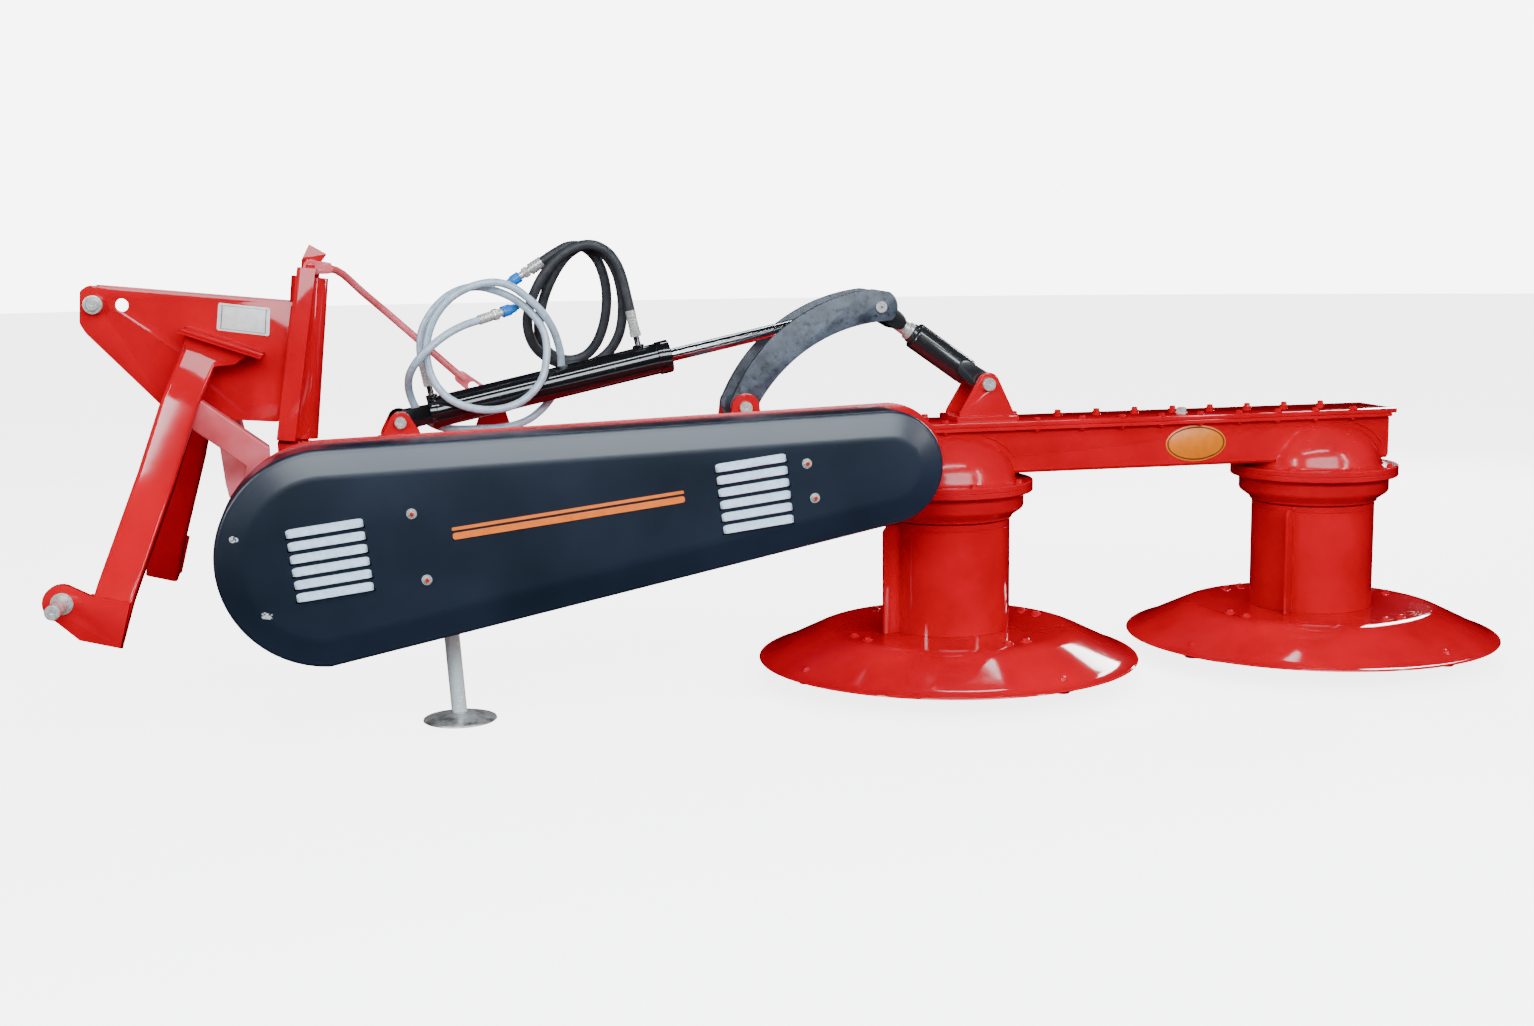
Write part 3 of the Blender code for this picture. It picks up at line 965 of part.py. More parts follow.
def hitch_pieces():
    """Fixed headstock, swing knuckle and tie rod."""
    lean = (POST_TOP[0] - POST_FOOT[0]) / (POST_TOP[1] - POST_FOOT[1])
    axis = Vector((POST_TOP[0] - POST_FOOT[0], 0, POST_TOP[1] - POST_FOOT[1]))
    foot = Vector(flat(POST_FOOT))
    turn = Matrix.Translation(foot) @ Matrix.Rotation(HITCH_YAW * DEG, 4, axis) @ Matrix.Translation(-foot)
    made = []
    for label, side in (("near", -1), ("far", 1)):
        low, high = sorted((side * MAST_GAP, side * (MAST_GAP + MAST_PLATE)))
        cuts = [cross_pin(*TOP_PIN, TOP_PIN_R + GAP, -0.1, 0.1), cross_pin(*TOP_HOLE, TOP_PIN_R + 0.001, -0.1, 0.1)]
        made.append(node("mast_plate_" + label, "red_paint", [slab(MAST_OUTLINE, low, high)], cuts))

        outer = side * (MAST_GAP + MAST_PLATE + GAP)
        path = [(LEG_TOP[0], outer - side * 0.006, LEG_TOP[1])]
        path += [(x, side * y, z) for x, y, z in LEG_ROUTE]
        path.append((LEG_FOOT[0], side * LEG_BOTTOM_Y, LEG_FOOT[1]))
        leg = swept_bar(path, LEG_WIDE, LEG_DEEP)
        saddle = [(-1.6601, 0.8528), (-1.5025, 0.7962), (-1.5075, 0.7815), (-1.6650, 0.8370)]
        low, high = sorted((outer, side * 0.150))
        tray = slab(saddle, low, high)
        gusset = slab([(-1.655, 0.842), (-1.530, 0.798), (-1.5587, 0.7773), (-1.650, 0.770)],
                      *sorted((side * 0.112, side * 0.124)))
        inner = side * (LEG_BOTTOM_Y + LEG_DEEP / 2 - 0.004)
        ear = [(-1.820, 0.395), (-1.780, 0.330), (-1.800, 0.285), (-1.835, 0.290),
               *arc(*LOWER_PIN, 0.036, 270, 100, 8)]
        lug = slab(ear, *sorted((inner, inner + side * 0.016)))
        made.append(node("leg_" + label, "red_paint", [leg, tray, gusset, lug],
                         [cross_pin(*LOWER_PIN, LOWER_PIN_R + GAP, *sorted((side * 0.30, side * 0.60))),
                          box((-1.80, min(0, outer), 0.60), (-1.40, max(0, outer), 1.00))]))
        made.append(node("lower_pin_" + label, "zinc", [
            cross_pin(*LOWER_PIN, LOWER_PIN_R, *sorted((inner - side * 0.012, inner + side * 0.110))),
            cross_pin(*LOWER_PIN, 0.020, *sorted((inner - side * 0.014, inner - side * 0.001)))]))

    made.append(node("top_link_pin", "zinc", [cross_pin(*TOP_PIN, TOP_PIN_R, -0.078, 0.078),
                                              cross_pin(*TOP_PIN, 0.019, -0.070, -MAST_GAP - MAST_PLATE - GAP)]))
    tube = [on_post(POST_BOTTOM, POST_R, POST_TOP[1], 24)]

    def corner(z, edge):
        z -= (edge[0] + edge[1] * (z - POST_FOOT[1])) * lean
        return (post_x(z) + edge[0] + edge[1] * (z - POST_FOOT[1]), z)

    left, right = POST_BAR_EDGES
    near, far = ([corner(low, left), corner(low, right), corner(high, right), corner(high, left)]
                 for low, high in POST_BARS)
    tube.append(slab(near, -0.080, -POST_R + 0.004))
    tube.append(slab(far, POST_R - 0.004, 0.080))
    made.append(node("swing_post", "red_paint", tube,
                     [on_post(POST_BOTTOM - 0.02, KINGPIN_R + RUN, POST_TOP[1] + 0.02, 18)]))
    frame = [slab([(-1.600, HINGE_PLATE_Z - 0.006), (-1.600, HINGE_PLATE_Z + 0.006),
                   (TILT_X, HINGE_PLATE_Z + 0.006), (TILT_X, HINGE_PLATE_Z - 0.006)], -0.034, 0.034)]
    frame.append(pin((post_x(HINGE_PLATE_Z), 0, HINGE_PLATE_Z - 0.006),
                     (post_x(HINGE_PLATE_Z), 0, HINGE_PLATE_Z + 0.006), 0.034, 18))
    for side, route in zip((-1, 1), STRUT_ROUTES):
        frame.append(swept_bar([(x, side * y, z) for x, y, z in route], *STRUT))
    made.append(node("lower_frame", "red_paint", frame,
                     [on_post(HINGE_PLATE_Z - 0.03, KINGPIN_FOOT_R + RUN, HINGE_PLATE_Z + 0.03)]))
    for piece in made:
        piece.data.transform(turn)

    corners = [(TILT_X - KNUCKLE_HALF, 0.495), (TILT_X + KNUCKLE_HALF, 0.495)]
    corners += [(x, KNUCKLE_TOP - (x - post_x(KNUCKLE_TOP)) * lean) for x in (corners[1][0], corners[0][0])]
    block = slab(corners, -0.055, 0.055)
    king = on_post(0.600, KINGPIN_R, TIE_TOP[1] + 0.016, 18)
    foot_pin = on_post(HINGE_PLATE_Z - 0.012, KINGPIN_FOOT_R, 0.500, 14)
    tab = slab([(-1.4079, 1.0195), (-1.372, 0.998), (-1.3895, 0.9755), (-1.4259, 0.9844)], -0.006, 0.006)
    arm_pin = cross_pin(*TIE_TOP, 0.008, -0.031, 0.031, 12)
    node("swing_knuckle", "red_paint", [block, king, foot_pin, tab, arm_pin],
         [cross_pin(TILT_X, TILT_Z, TILT_PIN_R + RUN, -0.1, 0.1, 18)], pivot="swing_knuckle")

    side_y = ARM_HALF + 0.0145
    fork = [slab(rounded_bar(TIE_TOP, (TIE_TOP[0] + 0.034, TIE_TOP[1] - 0.003), 0.015, 0.012, 6), *span)
            for span in ((0.0215, 0.029), (-0.029, -0.0215))]
    fork.append(box((TIE_TOP[0] + 0.026, -0.029, TIE_TOP[1] - 0.014), (TIE_TOP[0] + 0.042, 0.029, TIE_TOP[1] + 0.008)))
    slot_way = Vector((TIE_EYE[0] - TIE_TOP[0], 0, TIE_EYE[1] - TIE_TOP[1])).normalized()
    eye = Vector((TIE_EYE[0], side_y, TIE_EYE[1]))
    bends = [Vector((TIE_TOP[0] + 0.036, 0, TIE_TOP[1] - 0.004)), Vector((-1.345, 0.018, 0.9585)),
             Vector((-1.300, 0.050, 0.915)), Vector((-1.240, side_y, 0.860)), eye - slot_way * 0.078]
    route, total = spline(bends, 0.060)
    rod = settle(tube_curve("rod", route, 0.008, 1))
    end = eye + slot_way * 0.016
    start = eye - slot_way * 0.086
    flat_end = slab(rounded_bar((start.x, start.z), (end.x - slot_way.x * 0.004, end.z - slot_way.z * 0.004),
                                0.014, 0.018, 7), side_y - 0.0045, side_y + 0.0045)
    slot = slab(rounded_bar((eye.x - slot_way.x * 0.056, eye.z - slot_way.z * 0.056), (eye.x, eye.z),
                            0.0088, 0.0088, 7), side_y - 0.02, side_y + 0.02)
    node("tie_rod", "red_paint", [rod, *fork, flat_end], [cross_pin(*TIE_TOP, 0.0088, -0.05, 0.05, 12), slot],
         pivot="tie_rod")


for label, x, hand in DRUMS:
    drum_pieces(label, x)
beam_pieces()
drive_pieces()
guard_pieces()
arm_pieces()
lift_pieces()
hose_pieces()
hitch_pieces()
bpy.context.view_layer.update()
meshes = [o for o in bpy.data.objects if o.type in {"MESH", "CURVE"}]
print(len(meshes), "pieces")
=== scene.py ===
"""Looks of the two-drum rotary mower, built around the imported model. Metres, +Z up."""
import json
import math

import bmesh
import bpy
from mathutils import Matrix, Vector


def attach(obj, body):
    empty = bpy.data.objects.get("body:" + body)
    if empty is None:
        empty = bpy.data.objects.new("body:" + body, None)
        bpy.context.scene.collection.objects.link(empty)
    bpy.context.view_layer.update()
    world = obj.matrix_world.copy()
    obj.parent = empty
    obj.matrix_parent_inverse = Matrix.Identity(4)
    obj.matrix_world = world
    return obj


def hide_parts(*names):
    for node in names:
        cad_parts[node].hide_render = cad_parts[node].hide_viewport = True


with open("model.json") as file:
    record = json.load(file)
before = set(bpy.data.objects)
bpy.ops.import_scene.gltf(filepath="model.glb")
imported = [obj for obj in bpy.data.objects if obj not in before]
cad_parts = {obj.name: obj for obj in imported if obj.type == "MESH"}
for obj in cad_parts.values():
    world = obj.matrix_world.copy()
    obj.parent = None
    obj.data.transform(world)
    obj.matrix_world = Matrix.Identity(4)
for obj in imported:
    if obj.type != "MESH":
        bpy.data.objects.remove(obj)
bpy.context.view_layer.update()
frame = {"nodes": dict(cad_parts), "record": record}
nodes = frame["nodes"]

# Driving dimensions: drums and skids
DRUM_SPACING = 0.930        # between the two drum axes
RIM_RADIUS = 0.440          # skirt's outer edge
RIM_HEIGHT = 0.050          # skirt's edge above the ground
CREASE_RADIUS = 0.292       # where the flat ring turns into the cone
RING_HEIGHT = 0.122         # top of the skirt's flat ring
RING_BORE = 0.120
RING_BOLTS = 0.250          # bolt circle on the flat ring
DRUM_RADIUS = 0.1434
DRUM_TOP = 0.3765
SHEET = 0.004               # drum and skirt sheet
FIN_COUNT = 2
FIN_DEPTH = 0.043
FIN_THICKNESS = 0.006
FIN_ANGLES = {"inner": -159.5, "outer": -137.0}     # first conveying fin, degrees
BLADE_COUNT = 4
BLADE_PIN_INSET = 0.040     # pin circle inside the skirt's edge
BLADE_PIN_RADIUS = RIM_RADIUS - BLADE_PIN_INSET
BLADE_ANGLE = -160.0        # first blade pin, degrees
BLADE_HEIGHT = 0.0425       # underside of the blades
BLADE_LENGTH = 0.100
BLADE_WIDTH = 0.040
BLADE_THICKNESS = 0.004
BLADE_FOLD = 100.0          # parked blade against the outward radius, degrees
PIN_BLADE_R = 0.009
CARRIER_START = 0.215       # inner end of a blade carrier
SKID_RADIUS = 0.250
SKID_FLAT = 0.120
SKID_RISE = 0.028
SKID_PLATE = 0.0055
SHAFT_R = 0.020             # vertical drum shaft

# Cutter beam and its housings
BEAM_OVERHANG = 0.155       # web's outer end beyond the outer drum axis
BEAM_END = DRUM_SPACING + BEAM_OVERHANG
BEAM_TAIL = 0.085           # web's inner end, behind the lift axis
BEAM_HALF = 0.070
BEAM_BOTTOM = 0.480
LIP_HALF = 0.085
LIP_BOTTOM = 0.5805
LIP_TOP = 0.5885
COVER_TOP = 0.600
WEB_WALL = 0.006
COVER_OVERHANG = 0.013
PLUG_SHARE = 0.62           # filler plug, of the way to the outer drum
HOUSING_DOME_R = 0.157
HOUSING_DOME_TOP = 0.5798
HOUSING_FLANGE_R = 0.196
HOUSING_BAND_R = 0.175
HOUSING_NECK_R = 0.148
HOUSING_BOTTOM = 0.380
HOUSING_WALL = 0.009
BEARING_R = 0.045

# Lift axis, belt drive and guard
LIFT_X, LIFT_Z = -0.238, 0.537      # beam lift axis and driven pulley
INPUT_X, INPUT_Z = -1.3965, 0.4014  # input shaft and driving pulley
DRIVE_R = 0.0175            # input shaft
SPLINES = 6                 # on the input shaft
INPUT_HOUSING_R = 0.050
INPUT_HOUSING_END = 0.140
PULLEY_BACK = -0.236
GROOVES = 3
GROOVE_PITCH = 0.019
GUARD_BACK = -0.2053        # cover's open edge
GUARD_FRONT = -0.340        # cover's flat panel
GUARD_PLATE = 0.006         # red backing plate
GUARD_SKIN = 0.003
GUARD_BIG_R = 0.2195
GUARD_SMALL_R = 0.121
GUARD_EDGE = 0.009          # rounded edge of the cover
GUARD_CORNER = 0.005        # bottom edge inside the big end's tangent
GUARD_BAND = 0.056          # sloping band inside the edge
GUARD_SLOPE = 0.013         # how far the band rises
PLATE_MARGIN = 0.012        # backing plate beyond the cover
PLATE_SHIFT = 0.030         # backing plate's small end, outward
LOUVRES = 6
LOUVRE_PITCH = 0.0258
LOUVRE_LENGTH = 0.150
LOUVRE_HEIGHT = 0.017
LOUVRE_RISE = 0.008
LOUVRE_STEPS = 40           # along a hood
LOUVRE_ROUND = 0.011        # rounded end of a hood
SLOT_HALF = 0.0042          # half the height of the slot under a hood
LOUVRE_LEFT = (-1.393, 0.402)
LOUVRE_RIGHT = (-0.532, 0.498)

# Main arm and swing knuckle
ARM_HALF = 0.060
ARM_BOTTOM, ARM_TOP = 0.480, 0.600
ARM_START = -1.360
ARM_END = -0.365
ARM_WALL = 0.006
FORK_INNER = 0.088
FORK_PLATE = 0.012
FORK_R = 0.075
FORK_BOX_START = -0.520     # boxes between the arm and the fork plates
FORK_START, FORK_NECK = -0.500, -0.430
TIE_EAR = (-1.072, -0.992)  # foot of the tie rod's ear on the arm
TRUNNION_R = 0.045
TILT_Z = 0.550
CHEEK_R = 0.045
CHEEK = 0.015
TILT_PIN_R = 0.018
KNUCKLE_HALF = 0.038
KINGPIN_R = 0.019
KINGPIN_FOOT_R = 0.014
POST_TOP = (-1.4091, 0.9508)        # swing post axis, top
POST_FOOT = (-1.4476, 0.5966)       # swing post axis, foot
POST_R = 0.038
POST_BOTTOM = 0.614

# Lift linkage, in the plane of the cylinder
PIN_A = (-1.2361, 0.6410)   # cylinder base
PIN_B = (-0.4890, 0.6504)   # rocker
PIN_C = (-0.1746, 0.8646)   # rocker, cylinder rod and link
PIN_D = (0.0816, 0.6840)    # link on the beam
PIN_A_R = 0.0125
PIN_B_R = 0.0140
PIN_D_R = 0.0150
BARREL_R = 0.034
BARREL_START = 0.067
BARREL_END = 0.605
ROD_R = 0.0145
PORTS = (0.079, 0.541)      # along the barrel, from pin A
PORT_TIPS = (0.108, 0.117)  # off the barrel's axis
ROCKER_GAP = 0.045
ROCKER_PLATE = 0.012
ROCKER_OUTER = ((-0.5218, 0.6590), (-0.3425, 0.8592), (-0.1929, 0.9048))
ROCKER_INNER = ((-0.1677, 0.8333), (-0.3180, 0.7903), (-0.4540, 0.6612))
LINK_CHEEK = (0.020, 0.034)
LINK_BARREL = (0.104, 0.272)
LINK_BARREL_R = 0.031
EAR = 0.010

# Stand
STAND_X, STAND_Y = -1.1365, -0.100
STAND_LEAN = 3.5            # degrees, foot outward
STAND_R = 0.0165
STAND_TOP = 0.590
SLEEVE_R = 0.0225
SLEEVE_STAY = ((-1.190, 0.490), (-1.142, 0.575))    # block between sleeve and arm
FOOT_R = 0.079
FOOT_H = 0.016

# Headstock, symmetrical about its own plane and turned a little on the post
HITCH_YAW = -3.2            # degrees about the swing post
MAST_GAP = 0.043            # half the space between the mast plates
MAST_PLATE = 0.012
TOP_PIN = (-1.8385, 0.9024)
TOP_HOLE = (-1.7837, 0.9003)
TOP_PIN_R = 0.0125
MAST_OUTLINE = ((-1.8638, 0.9311), (-1.8468, 0.9419), (-1.4409, 0.9006), (-1.4820, 0.6516),
                (-1.6940, 0.6680), (-1.8568, 0.8441), (-1.8684, 0.8646))
LEG_TOP, LEG_FOOT = (-1.5960, 0.8500), (-1.8000, 0.2680)
LEG_ROUTE = ((-1.6170, 0.0800, 0.8260), (-1.6690, 0.1500, 0.6948), (-1.7083, 0.2400, 0.5584),
             (-1.7773, 0.3600, 0.3548))
POST_BARS = ((0.6115, 0.970), (0.6500, 0.930))      # near and far bar along the post, foot and top
POST_BAR_EDGES = ((-0.0430, 0.0563), (-0.0048, 0.0542))     # off the axis at its foot, and growth
KNUCKLE_FOOT, KNUCKLE_TOP = 0.495, 0.603
KNUCKLE_TAB = ((-1.4079, 1.0195), (-1.372, 0.998), (-1.3895, 0.9755), (-1.4259, 0.9844))
STRUT_ROUTES = (            # near and far strut, from the leg to the hinge plate
    ((-1.6500, 0.1380, 0.6900), (-1.5225, 0.1200, 0.5900), (-1.5310, 0.0800, 0.5170),
     (-1.5570, 0.0500, 0.4780), (-1.5520, 0.0100, 0.4680)),
    ((-1.6460, 0.1360, 0.6900), (-1.6120, 0.1500, 0.6550), (-1.5920, 0.1100, 0.5850),
     (-1.5770, 0.0520, 0.5120), (-1.5670, 0.0120, 0.4960)))
LOWER_PIN = (-1.863, 0.3531)
LOWER_PIN_R = 0.014
LEG_WIDE = 0.073
LEG_DEEP = 0.050
LEG_BOTTOM_Y = 0.400
STRUT = (0.060, 0.030)
HINGE_PLATE_Z = 0.468
HINGE_PLATE_HALF = 0.034
HINGE_PLATE_START = -1.600

# Clearances
GAP = 0.0003                # faces that touch on the real machine
RUN = 0.0005                # round parts that turn in each other

DEG = math.pi / 180.0


# Finishes

class Flow:
    """What comes out of a shader node, with arithmetic."""

    def __init__(self, look, out):
        self.look = look
        self.out = out

    def maths(self, operation, *values):
        sockets = dict(enumerate(values))
        return self.look.node("Math", {"operation": operation}, sockets)

    def __add__(self, other):
        return self.maths("ADD", self, other)

    def __sub__(self, other):
        return self.maths("SUBTRACT", self, other)

    def __rsub__(self, other):
        return self.maths("SUBTRACT", other, self)

    def __mul__(self, other):
        return self.maths("MULTIPLY", self, other)

    __radd__ = __add__
    __rmul__ = __mul__

    def between(self, low, high):
        """0 below low, 1 above high, straight between."""
        return self.look.node("MapRange", {"clamp": True}, {"Value": self, "From Min": low, "From Max": high})


class Look:
    """One finish under construction; its nodes end in the Principled shader."""

    def __init__(self, name):
        self.material = bpy.data.materials.new(name)
        self.material.use_nodes = True
        self.tree = self.material.node_tree
        self.shader = self.tree.nodes["Principled BSDF"]
        self.place = self.node("TexCoord", {}, {}, "Object")

    def node(self, kind, settings, sockets, out=0):
        made = self.tree.nodes.new("ShaderNode" + kind)
        for name, value in settings.items():
            setattr(made, name, value)
        for key, value in sockets.items():
            self.join(made.inputs[key], value)
        return Flow(self, made.outputs[out])

    def join(self, socket, value):
        if isinstance(value, Flow):
            self.tree.links.new(value.out, socket)
        elif socket.type == "RGBA":
            socket.default_value = (*value, 1.0)
        else:
            socket.default_value = value

    def noise(self, scale, detail=2.0, rough=0.5, stretch=None):
        place = self.place
        if stretch:
            place = self.node("Mapping", {}, {"Vector": place, "Scale": stretch})
        return self.node("TexNoise", {}, {"Vector": place, "Scale": scale, "Detail": detail,
                                          "Roughness": rough})

    def mix(self, share, a, b):
        return self.node("Mix", {"data_type": "RGBA"}, {0: share, 6: a, 7: b}, 2)

    def near(self, spot, radius, soft=0.4):
        """1 within a radius of a spot, fading out over its outer part."""
        far = self.node("VectorMath", {"operation": "DISTANCE"}, {0: self.place, 1: spot}, "Value")
        return 1 - far.between(radius * (1 - soft), radius)

    def worn_edges(self, low=0.53, high=0.60):
        return self.node("NewGeometry", {}, {}, "Pointiness").between(low, high)

    def dents(self, height, strength, distance):
        bump = self.node("Bump", {}, {"Height": height, "Strength": strength, "Distance": distance})
        self.join(self.shader.inputs["Normal"], bump)

    def finish(self, sockets):
        for name, value in sockets.items():
            self.join(self.shader.inputs[name], value)
        return self.material


def red_paint(name, dark, light, rough, peel, dust=0.10):
    """Sprayed red enamel with orange peel and a little dust."""
    look = Look(name)
    waves = look.noise(7, 3)
    film = look.noise(38, 5, 0.65).between(0.52, 0.82)
    colour = look.mix(waves.between(0.35, 0.70), dark, light)
    look.dents(look.noise(260, 2) + look.noise(34, 2) * 2, peel, 0.0004)
    return look.finish({"Base Color": colour, "Roughness": film * dust + rough, "Specular IOR Level": 0.30,
                        "Coat Weight": 0.30, "Coat Roughness": 0.05})


def guard_paint():
    """Blue-black satin paint with cloudy gloss and bare chips along the rim."""
    look = Look("guard_paint")
    cloud = look.noise(3.5, 3)
    colour = look.mix(cloud.between(0.3, 0.7), (0.007, 0.011, 0.021), (0.012, 0.019, 0.036))
    specks = look.noise(900, 2).between(0.74, 0.78) * look.noise(60, 2).between(0.5, 0.6)
    chips = look.noise(150, 4, 0.7).between(0.47, 0.53)
    marks = None
    for spot, radius in (((-0.128, GUARD_BACK, 0.602), 0.030), ((-0.119, GUARD_BACK, 0.560), 0.020),
                         ((-0.165, GUARD_BACK, 0.640), 0.024), ((-0.250, GUARD_BACK, 0.658), 0.030),
                         ((-0.395, -0.300, 0.388), 0.014)):
        mark = look.near(spot, radius)
        marks = mark if marks is None else marks + mark
    bare = chips * marks
    flaked = look.noise(210, 3, 0.6).between(0.42, 0.50)
    for spot, radius in (((-1.5768, -0.336, 0.4508), 0.0080), ((-1.5700, -0.336, 0.4500), 0.0055),
                         ((-1.5223, GUARD_FRONT, 0.2967), 0.0080), ((-1.5130, GUARD_FRONT, 0.2950), 0.0070)):
        bare = bare + flaked * look.near(spot, radius, 0.2)
    colour = look.mix(bare.between(0.3, 0.6), colour, (0.55, 0.56, 0.58))
    look.dents(look.noise(420, 2), 0.10, 0.0003)
    return look.finish({"Base Color": look.mix(specks * 0.5, colour, (0.3, 0.32, 0.36)),
                        "Roughness": cloud * 0.12 + 0.27, "Coat Weight": 0.35, "Coat Roughness": 0.22})


def dark_enamel(name, dark, light, rough):
    """Black enamel, scuffed a little."""
    look = Look(name)
    scuffs = look.noise(55, 6, 0.7).between(0.58, 0.85)
    look.dents(look.noise(130, 4), 0.22, 0.0005)
    return look.finish({"Base Color": look.mix(scuffs, dark, light), "Roughness": scuffs * 0.22 + rough,
                        "Coat Weight": 1.0, "Coat Roughness": 0.05})


def rocker_paint():
    """Slate blue-grey paint, rough, rubbed through to black along its edges."""
    look = Look("rocker_paint")
    blotch = look.noise(28, 5, 0.65)
    colour = look.mix(blotch.between(0.35, 0.7), (0.022, 0.028, 0.040), (0.090, 0.112, 0.150))
    flakes = look.noise(75, 5, 0.7).between(0.56, 0.61)
    colour = look.mix(flakes * 0.8, colour, (0.008, 0.009, 0.012))
    colour = look.mix(look.worn_edges(), colour, (0.006, 0.006, 0.007))
    look.dents(look.noise(180, 4, 0.6) + blotch, 0.35, 0.0006)
    return look.finish({"Base Color": colour, "Roughness": blotch * 0.25 + 0.28})


def bare_metal(name, dark, light, rough, grain=90, bump=0.08, blotches=0.0, metal=1.0):
    """Plated or bare steel; also the painted sky reflection on the louvre hoods and the stand tube. Blotches
    darkens patches of it.
    """
    look = Look(name)
    spots = look.noise(grain, 5, 0.6)
    colour = look.mix(spots.between(0.35, 0.7), dark, light)
    if blotches:
        patch = look.noise(26, 5, 0.65).between(0.50, 0.66)
        colour = look.mix(patch * blotches, colour, (0.10, 0.095, 0.09))
    look.dents(look.noise(grain * 4, 2) + spots, bump, 0.0003)
    return look.finish({"Base Color": colour, "Metallic": metal, "Roughness": spots * 0.15 + rough})


def rubber(name, dark, light, rough, coat=0.0):
    """Hose or belt rubber, scuffed, with or without a glossy skin."""
    look = Look(name)
    scuff = look.noise(45, 5, 0.6)
    look.dents(look.noise(900, 2), 0.12, 0.0002)
    return look.finish({"Base Color": look.mix(scuff.between(0.35, 0.7), dark, light),
                        "Roughness": scuff * 0.15 + rough, "Coat Weight": coat, "Coat Roughness": 0.15})


def moulded(name, colour, rough):
    """One even colour, as on moulded caps, signs and stripes."""
    look = Look(name)
    tint = look.mix(look.noise(60, 3).between(0.3, 0.7), tuple(c * 0.82 for c in colour), colour)
    look.dents(look.noise(500, 2), 0.05, 0.0002)
    return look.finish({"Base Color": tint, "Roughness": look.noise(90, 2) * 0.1 + rough})


FINISHES = {
    "red_paint": red_paint("red_enamel", (0.48, 0.0, 0.008), (0.60, 0.0, 0.011), rough=0.075, peel=0.06),
    "red_cast": red_paint("red_cast_iron", (0.47, 0.0, 0.008), (0.59, 0.0, 0.011), rough=0.20, peel=0.40,
                          dust=0.16),
    # Faded red for the tie rod and struts, lightened further to pink as a painted highlight on these thin
    # parts
    "red_faded_and_highlit": red_paint("red_weathered_and_painted_highlight", (0.60, 0.065, 0.080), (0.80, 0.190, 0.220), rough=0.36, peel=0.45,
                           dust=0.25),
    "red_weld": red_paint("red_weld_bead", (0.44, 0.001, 0.002), (0.62, 0.004, 0.005), rough=0.22, peel=0.30),
    "black_paint": guard_paint(),
    # Louvre hoods: black paint on the real guard; this pale blue-grey colour is a painted reflection of the
    # bright sky
    "louvre_painted_reflection": bare_metal("louvre_painted_sky_reflection", (0.42, 0.54, 0.68), (0.62, 0.76, 0.90), rough=0.42, grain=70,
                              bump=0.05, metal=0.4),
    "dark_enamel": dark_enamel("cylinder_enamel", (0.006, 0.006, 0.007), (0.026, 0.026, 0.028), rough=0.13),
    "rocker_paint": rocker_paint(),
    "link_satin": dark_enamel("link_satin_black", (0.014, 0.015, 0.017), (0.045, 0.047, 0.052), rough=0.30),
    "steel": bare_metal("worn_steel", (0.34, 0.34, 0.35), (0.52, 0.52, 0.53), rough=0.26),
    # Stand tube: bright steel, with a bluish-white tint painted in as the sky's reflection
    "leg_steel_painted_reflection": bare_metal("drawn_tube_painted_reflection", (0.78, 0.85, 0.88), (0.90, 0.95, 0.97), rough=0.18, grain=70,
                            bump=0.10, metal=0.2),
    "foot_steel": bare_metal("foot_steel", (0.40, 0.40, 0.41), (0.66, 0.67, 0.68), rough=0.30, grain=60,
                             bump=0.35, blotches=0.8, metal=0.6),
    "zinc": bare_metal("bright_zinc", (0.60, 0.595, 0.56), (0.80, 0.79, 0.76), rough=0.20, metal=0.5),
    "chrome": bare_metal("hard_chrome", (0.80, 0.79, 0.82), (0.86, 0.86, 0.88), rough=0.08, grain=12,
                         bump=0.0),
    "belt_rubber": rubber("belt_rubber", (0.02, 0.02, 0.02), (0.04, 0.04, 0.04), rough=0.70),
    # Grey hose; its blue tint is a painted reflection of the bright sky
    "grey_hose": rubber("grey_hose_painted_sky_tint", (0.34, 0.43, 0.53), (0.48, 0.58, 0.68), rough=0.20, coat=0.6),
    "black_hose": rubber("black_hose_cover", (0.018, 0.019, 0.023), (0.036, 0.038, 0.044), rough=0.48),
    "blue_cap": moulded("blue_dust_cap", (0.002, 0.20, 0.72), rough=0.26),
    "orange": moulded("orange_enamel", (0.95, 0.19, 0.012), rough=0.30),
    "oval_gold": moulded("golden_enamel", (0.80, 0.20, 0.0), rough=0.30),
    "oval_line": moulded("dark_rim_line", (0.10, 0.012, 0.008), rough=0.35),
    "hollow": moulded("dark_hollow", (0.006, 0.006, 0.007), rough=0.60),
    "bare_plate": moulded("bare_type_plate", (0.80, 0.80, 0.79), rough=0.22),
}
# The record's slot for each finish that isn't a slot itself
for part in frame["record"]["subparts"]:
    nodes[part["node"]].material_slots[0].material = FINISHES[part["material_slot"]]


# Shapes: each returns a bmesh

def place_all(bm, matrix):
    """Move the whole shape."""
    bmesh.ops.transform(bm, matrix=matrix, verts=bm.verts)
    return bm


def tidy(bm):
    """Join doubled vertices and point the faces outwards."""
    bmesh.ops.remove_doubles(bm, verts=bm.verts, dist=1e-6)
    bmesh.ops.recalc_face_normals(bm, faces=bm.faces)
    return bm


def merge(bm, part):
    """Add part's faces to bm and free part."""
    mesh = bpy.data.meshes.new("part")
    part.to_mesh(mesh)
    part.free()
    bm.from_mesh(mesh)
    bpy.data.meshes.remove(mesh)
    return bm


def together(parts):
    """One bmesh of loose parts."""
    bm = bmesh.new()
    for part in parts:
        merge(bm, part)
    return bm


def block(low, high):
    """A box between two corners."""
    bm = bmesh.new()
    middle = [(a + b) / 2 for a, b in zip(low, high)]
    sides = [b - a for a, b in zip(low, high)]
    bmesh.ops.create_cube(bm, size=1.0, matrix=Matrix.Translation(middle) @ Matrix.Diagonal((*sides, 1.0)))
    return bm


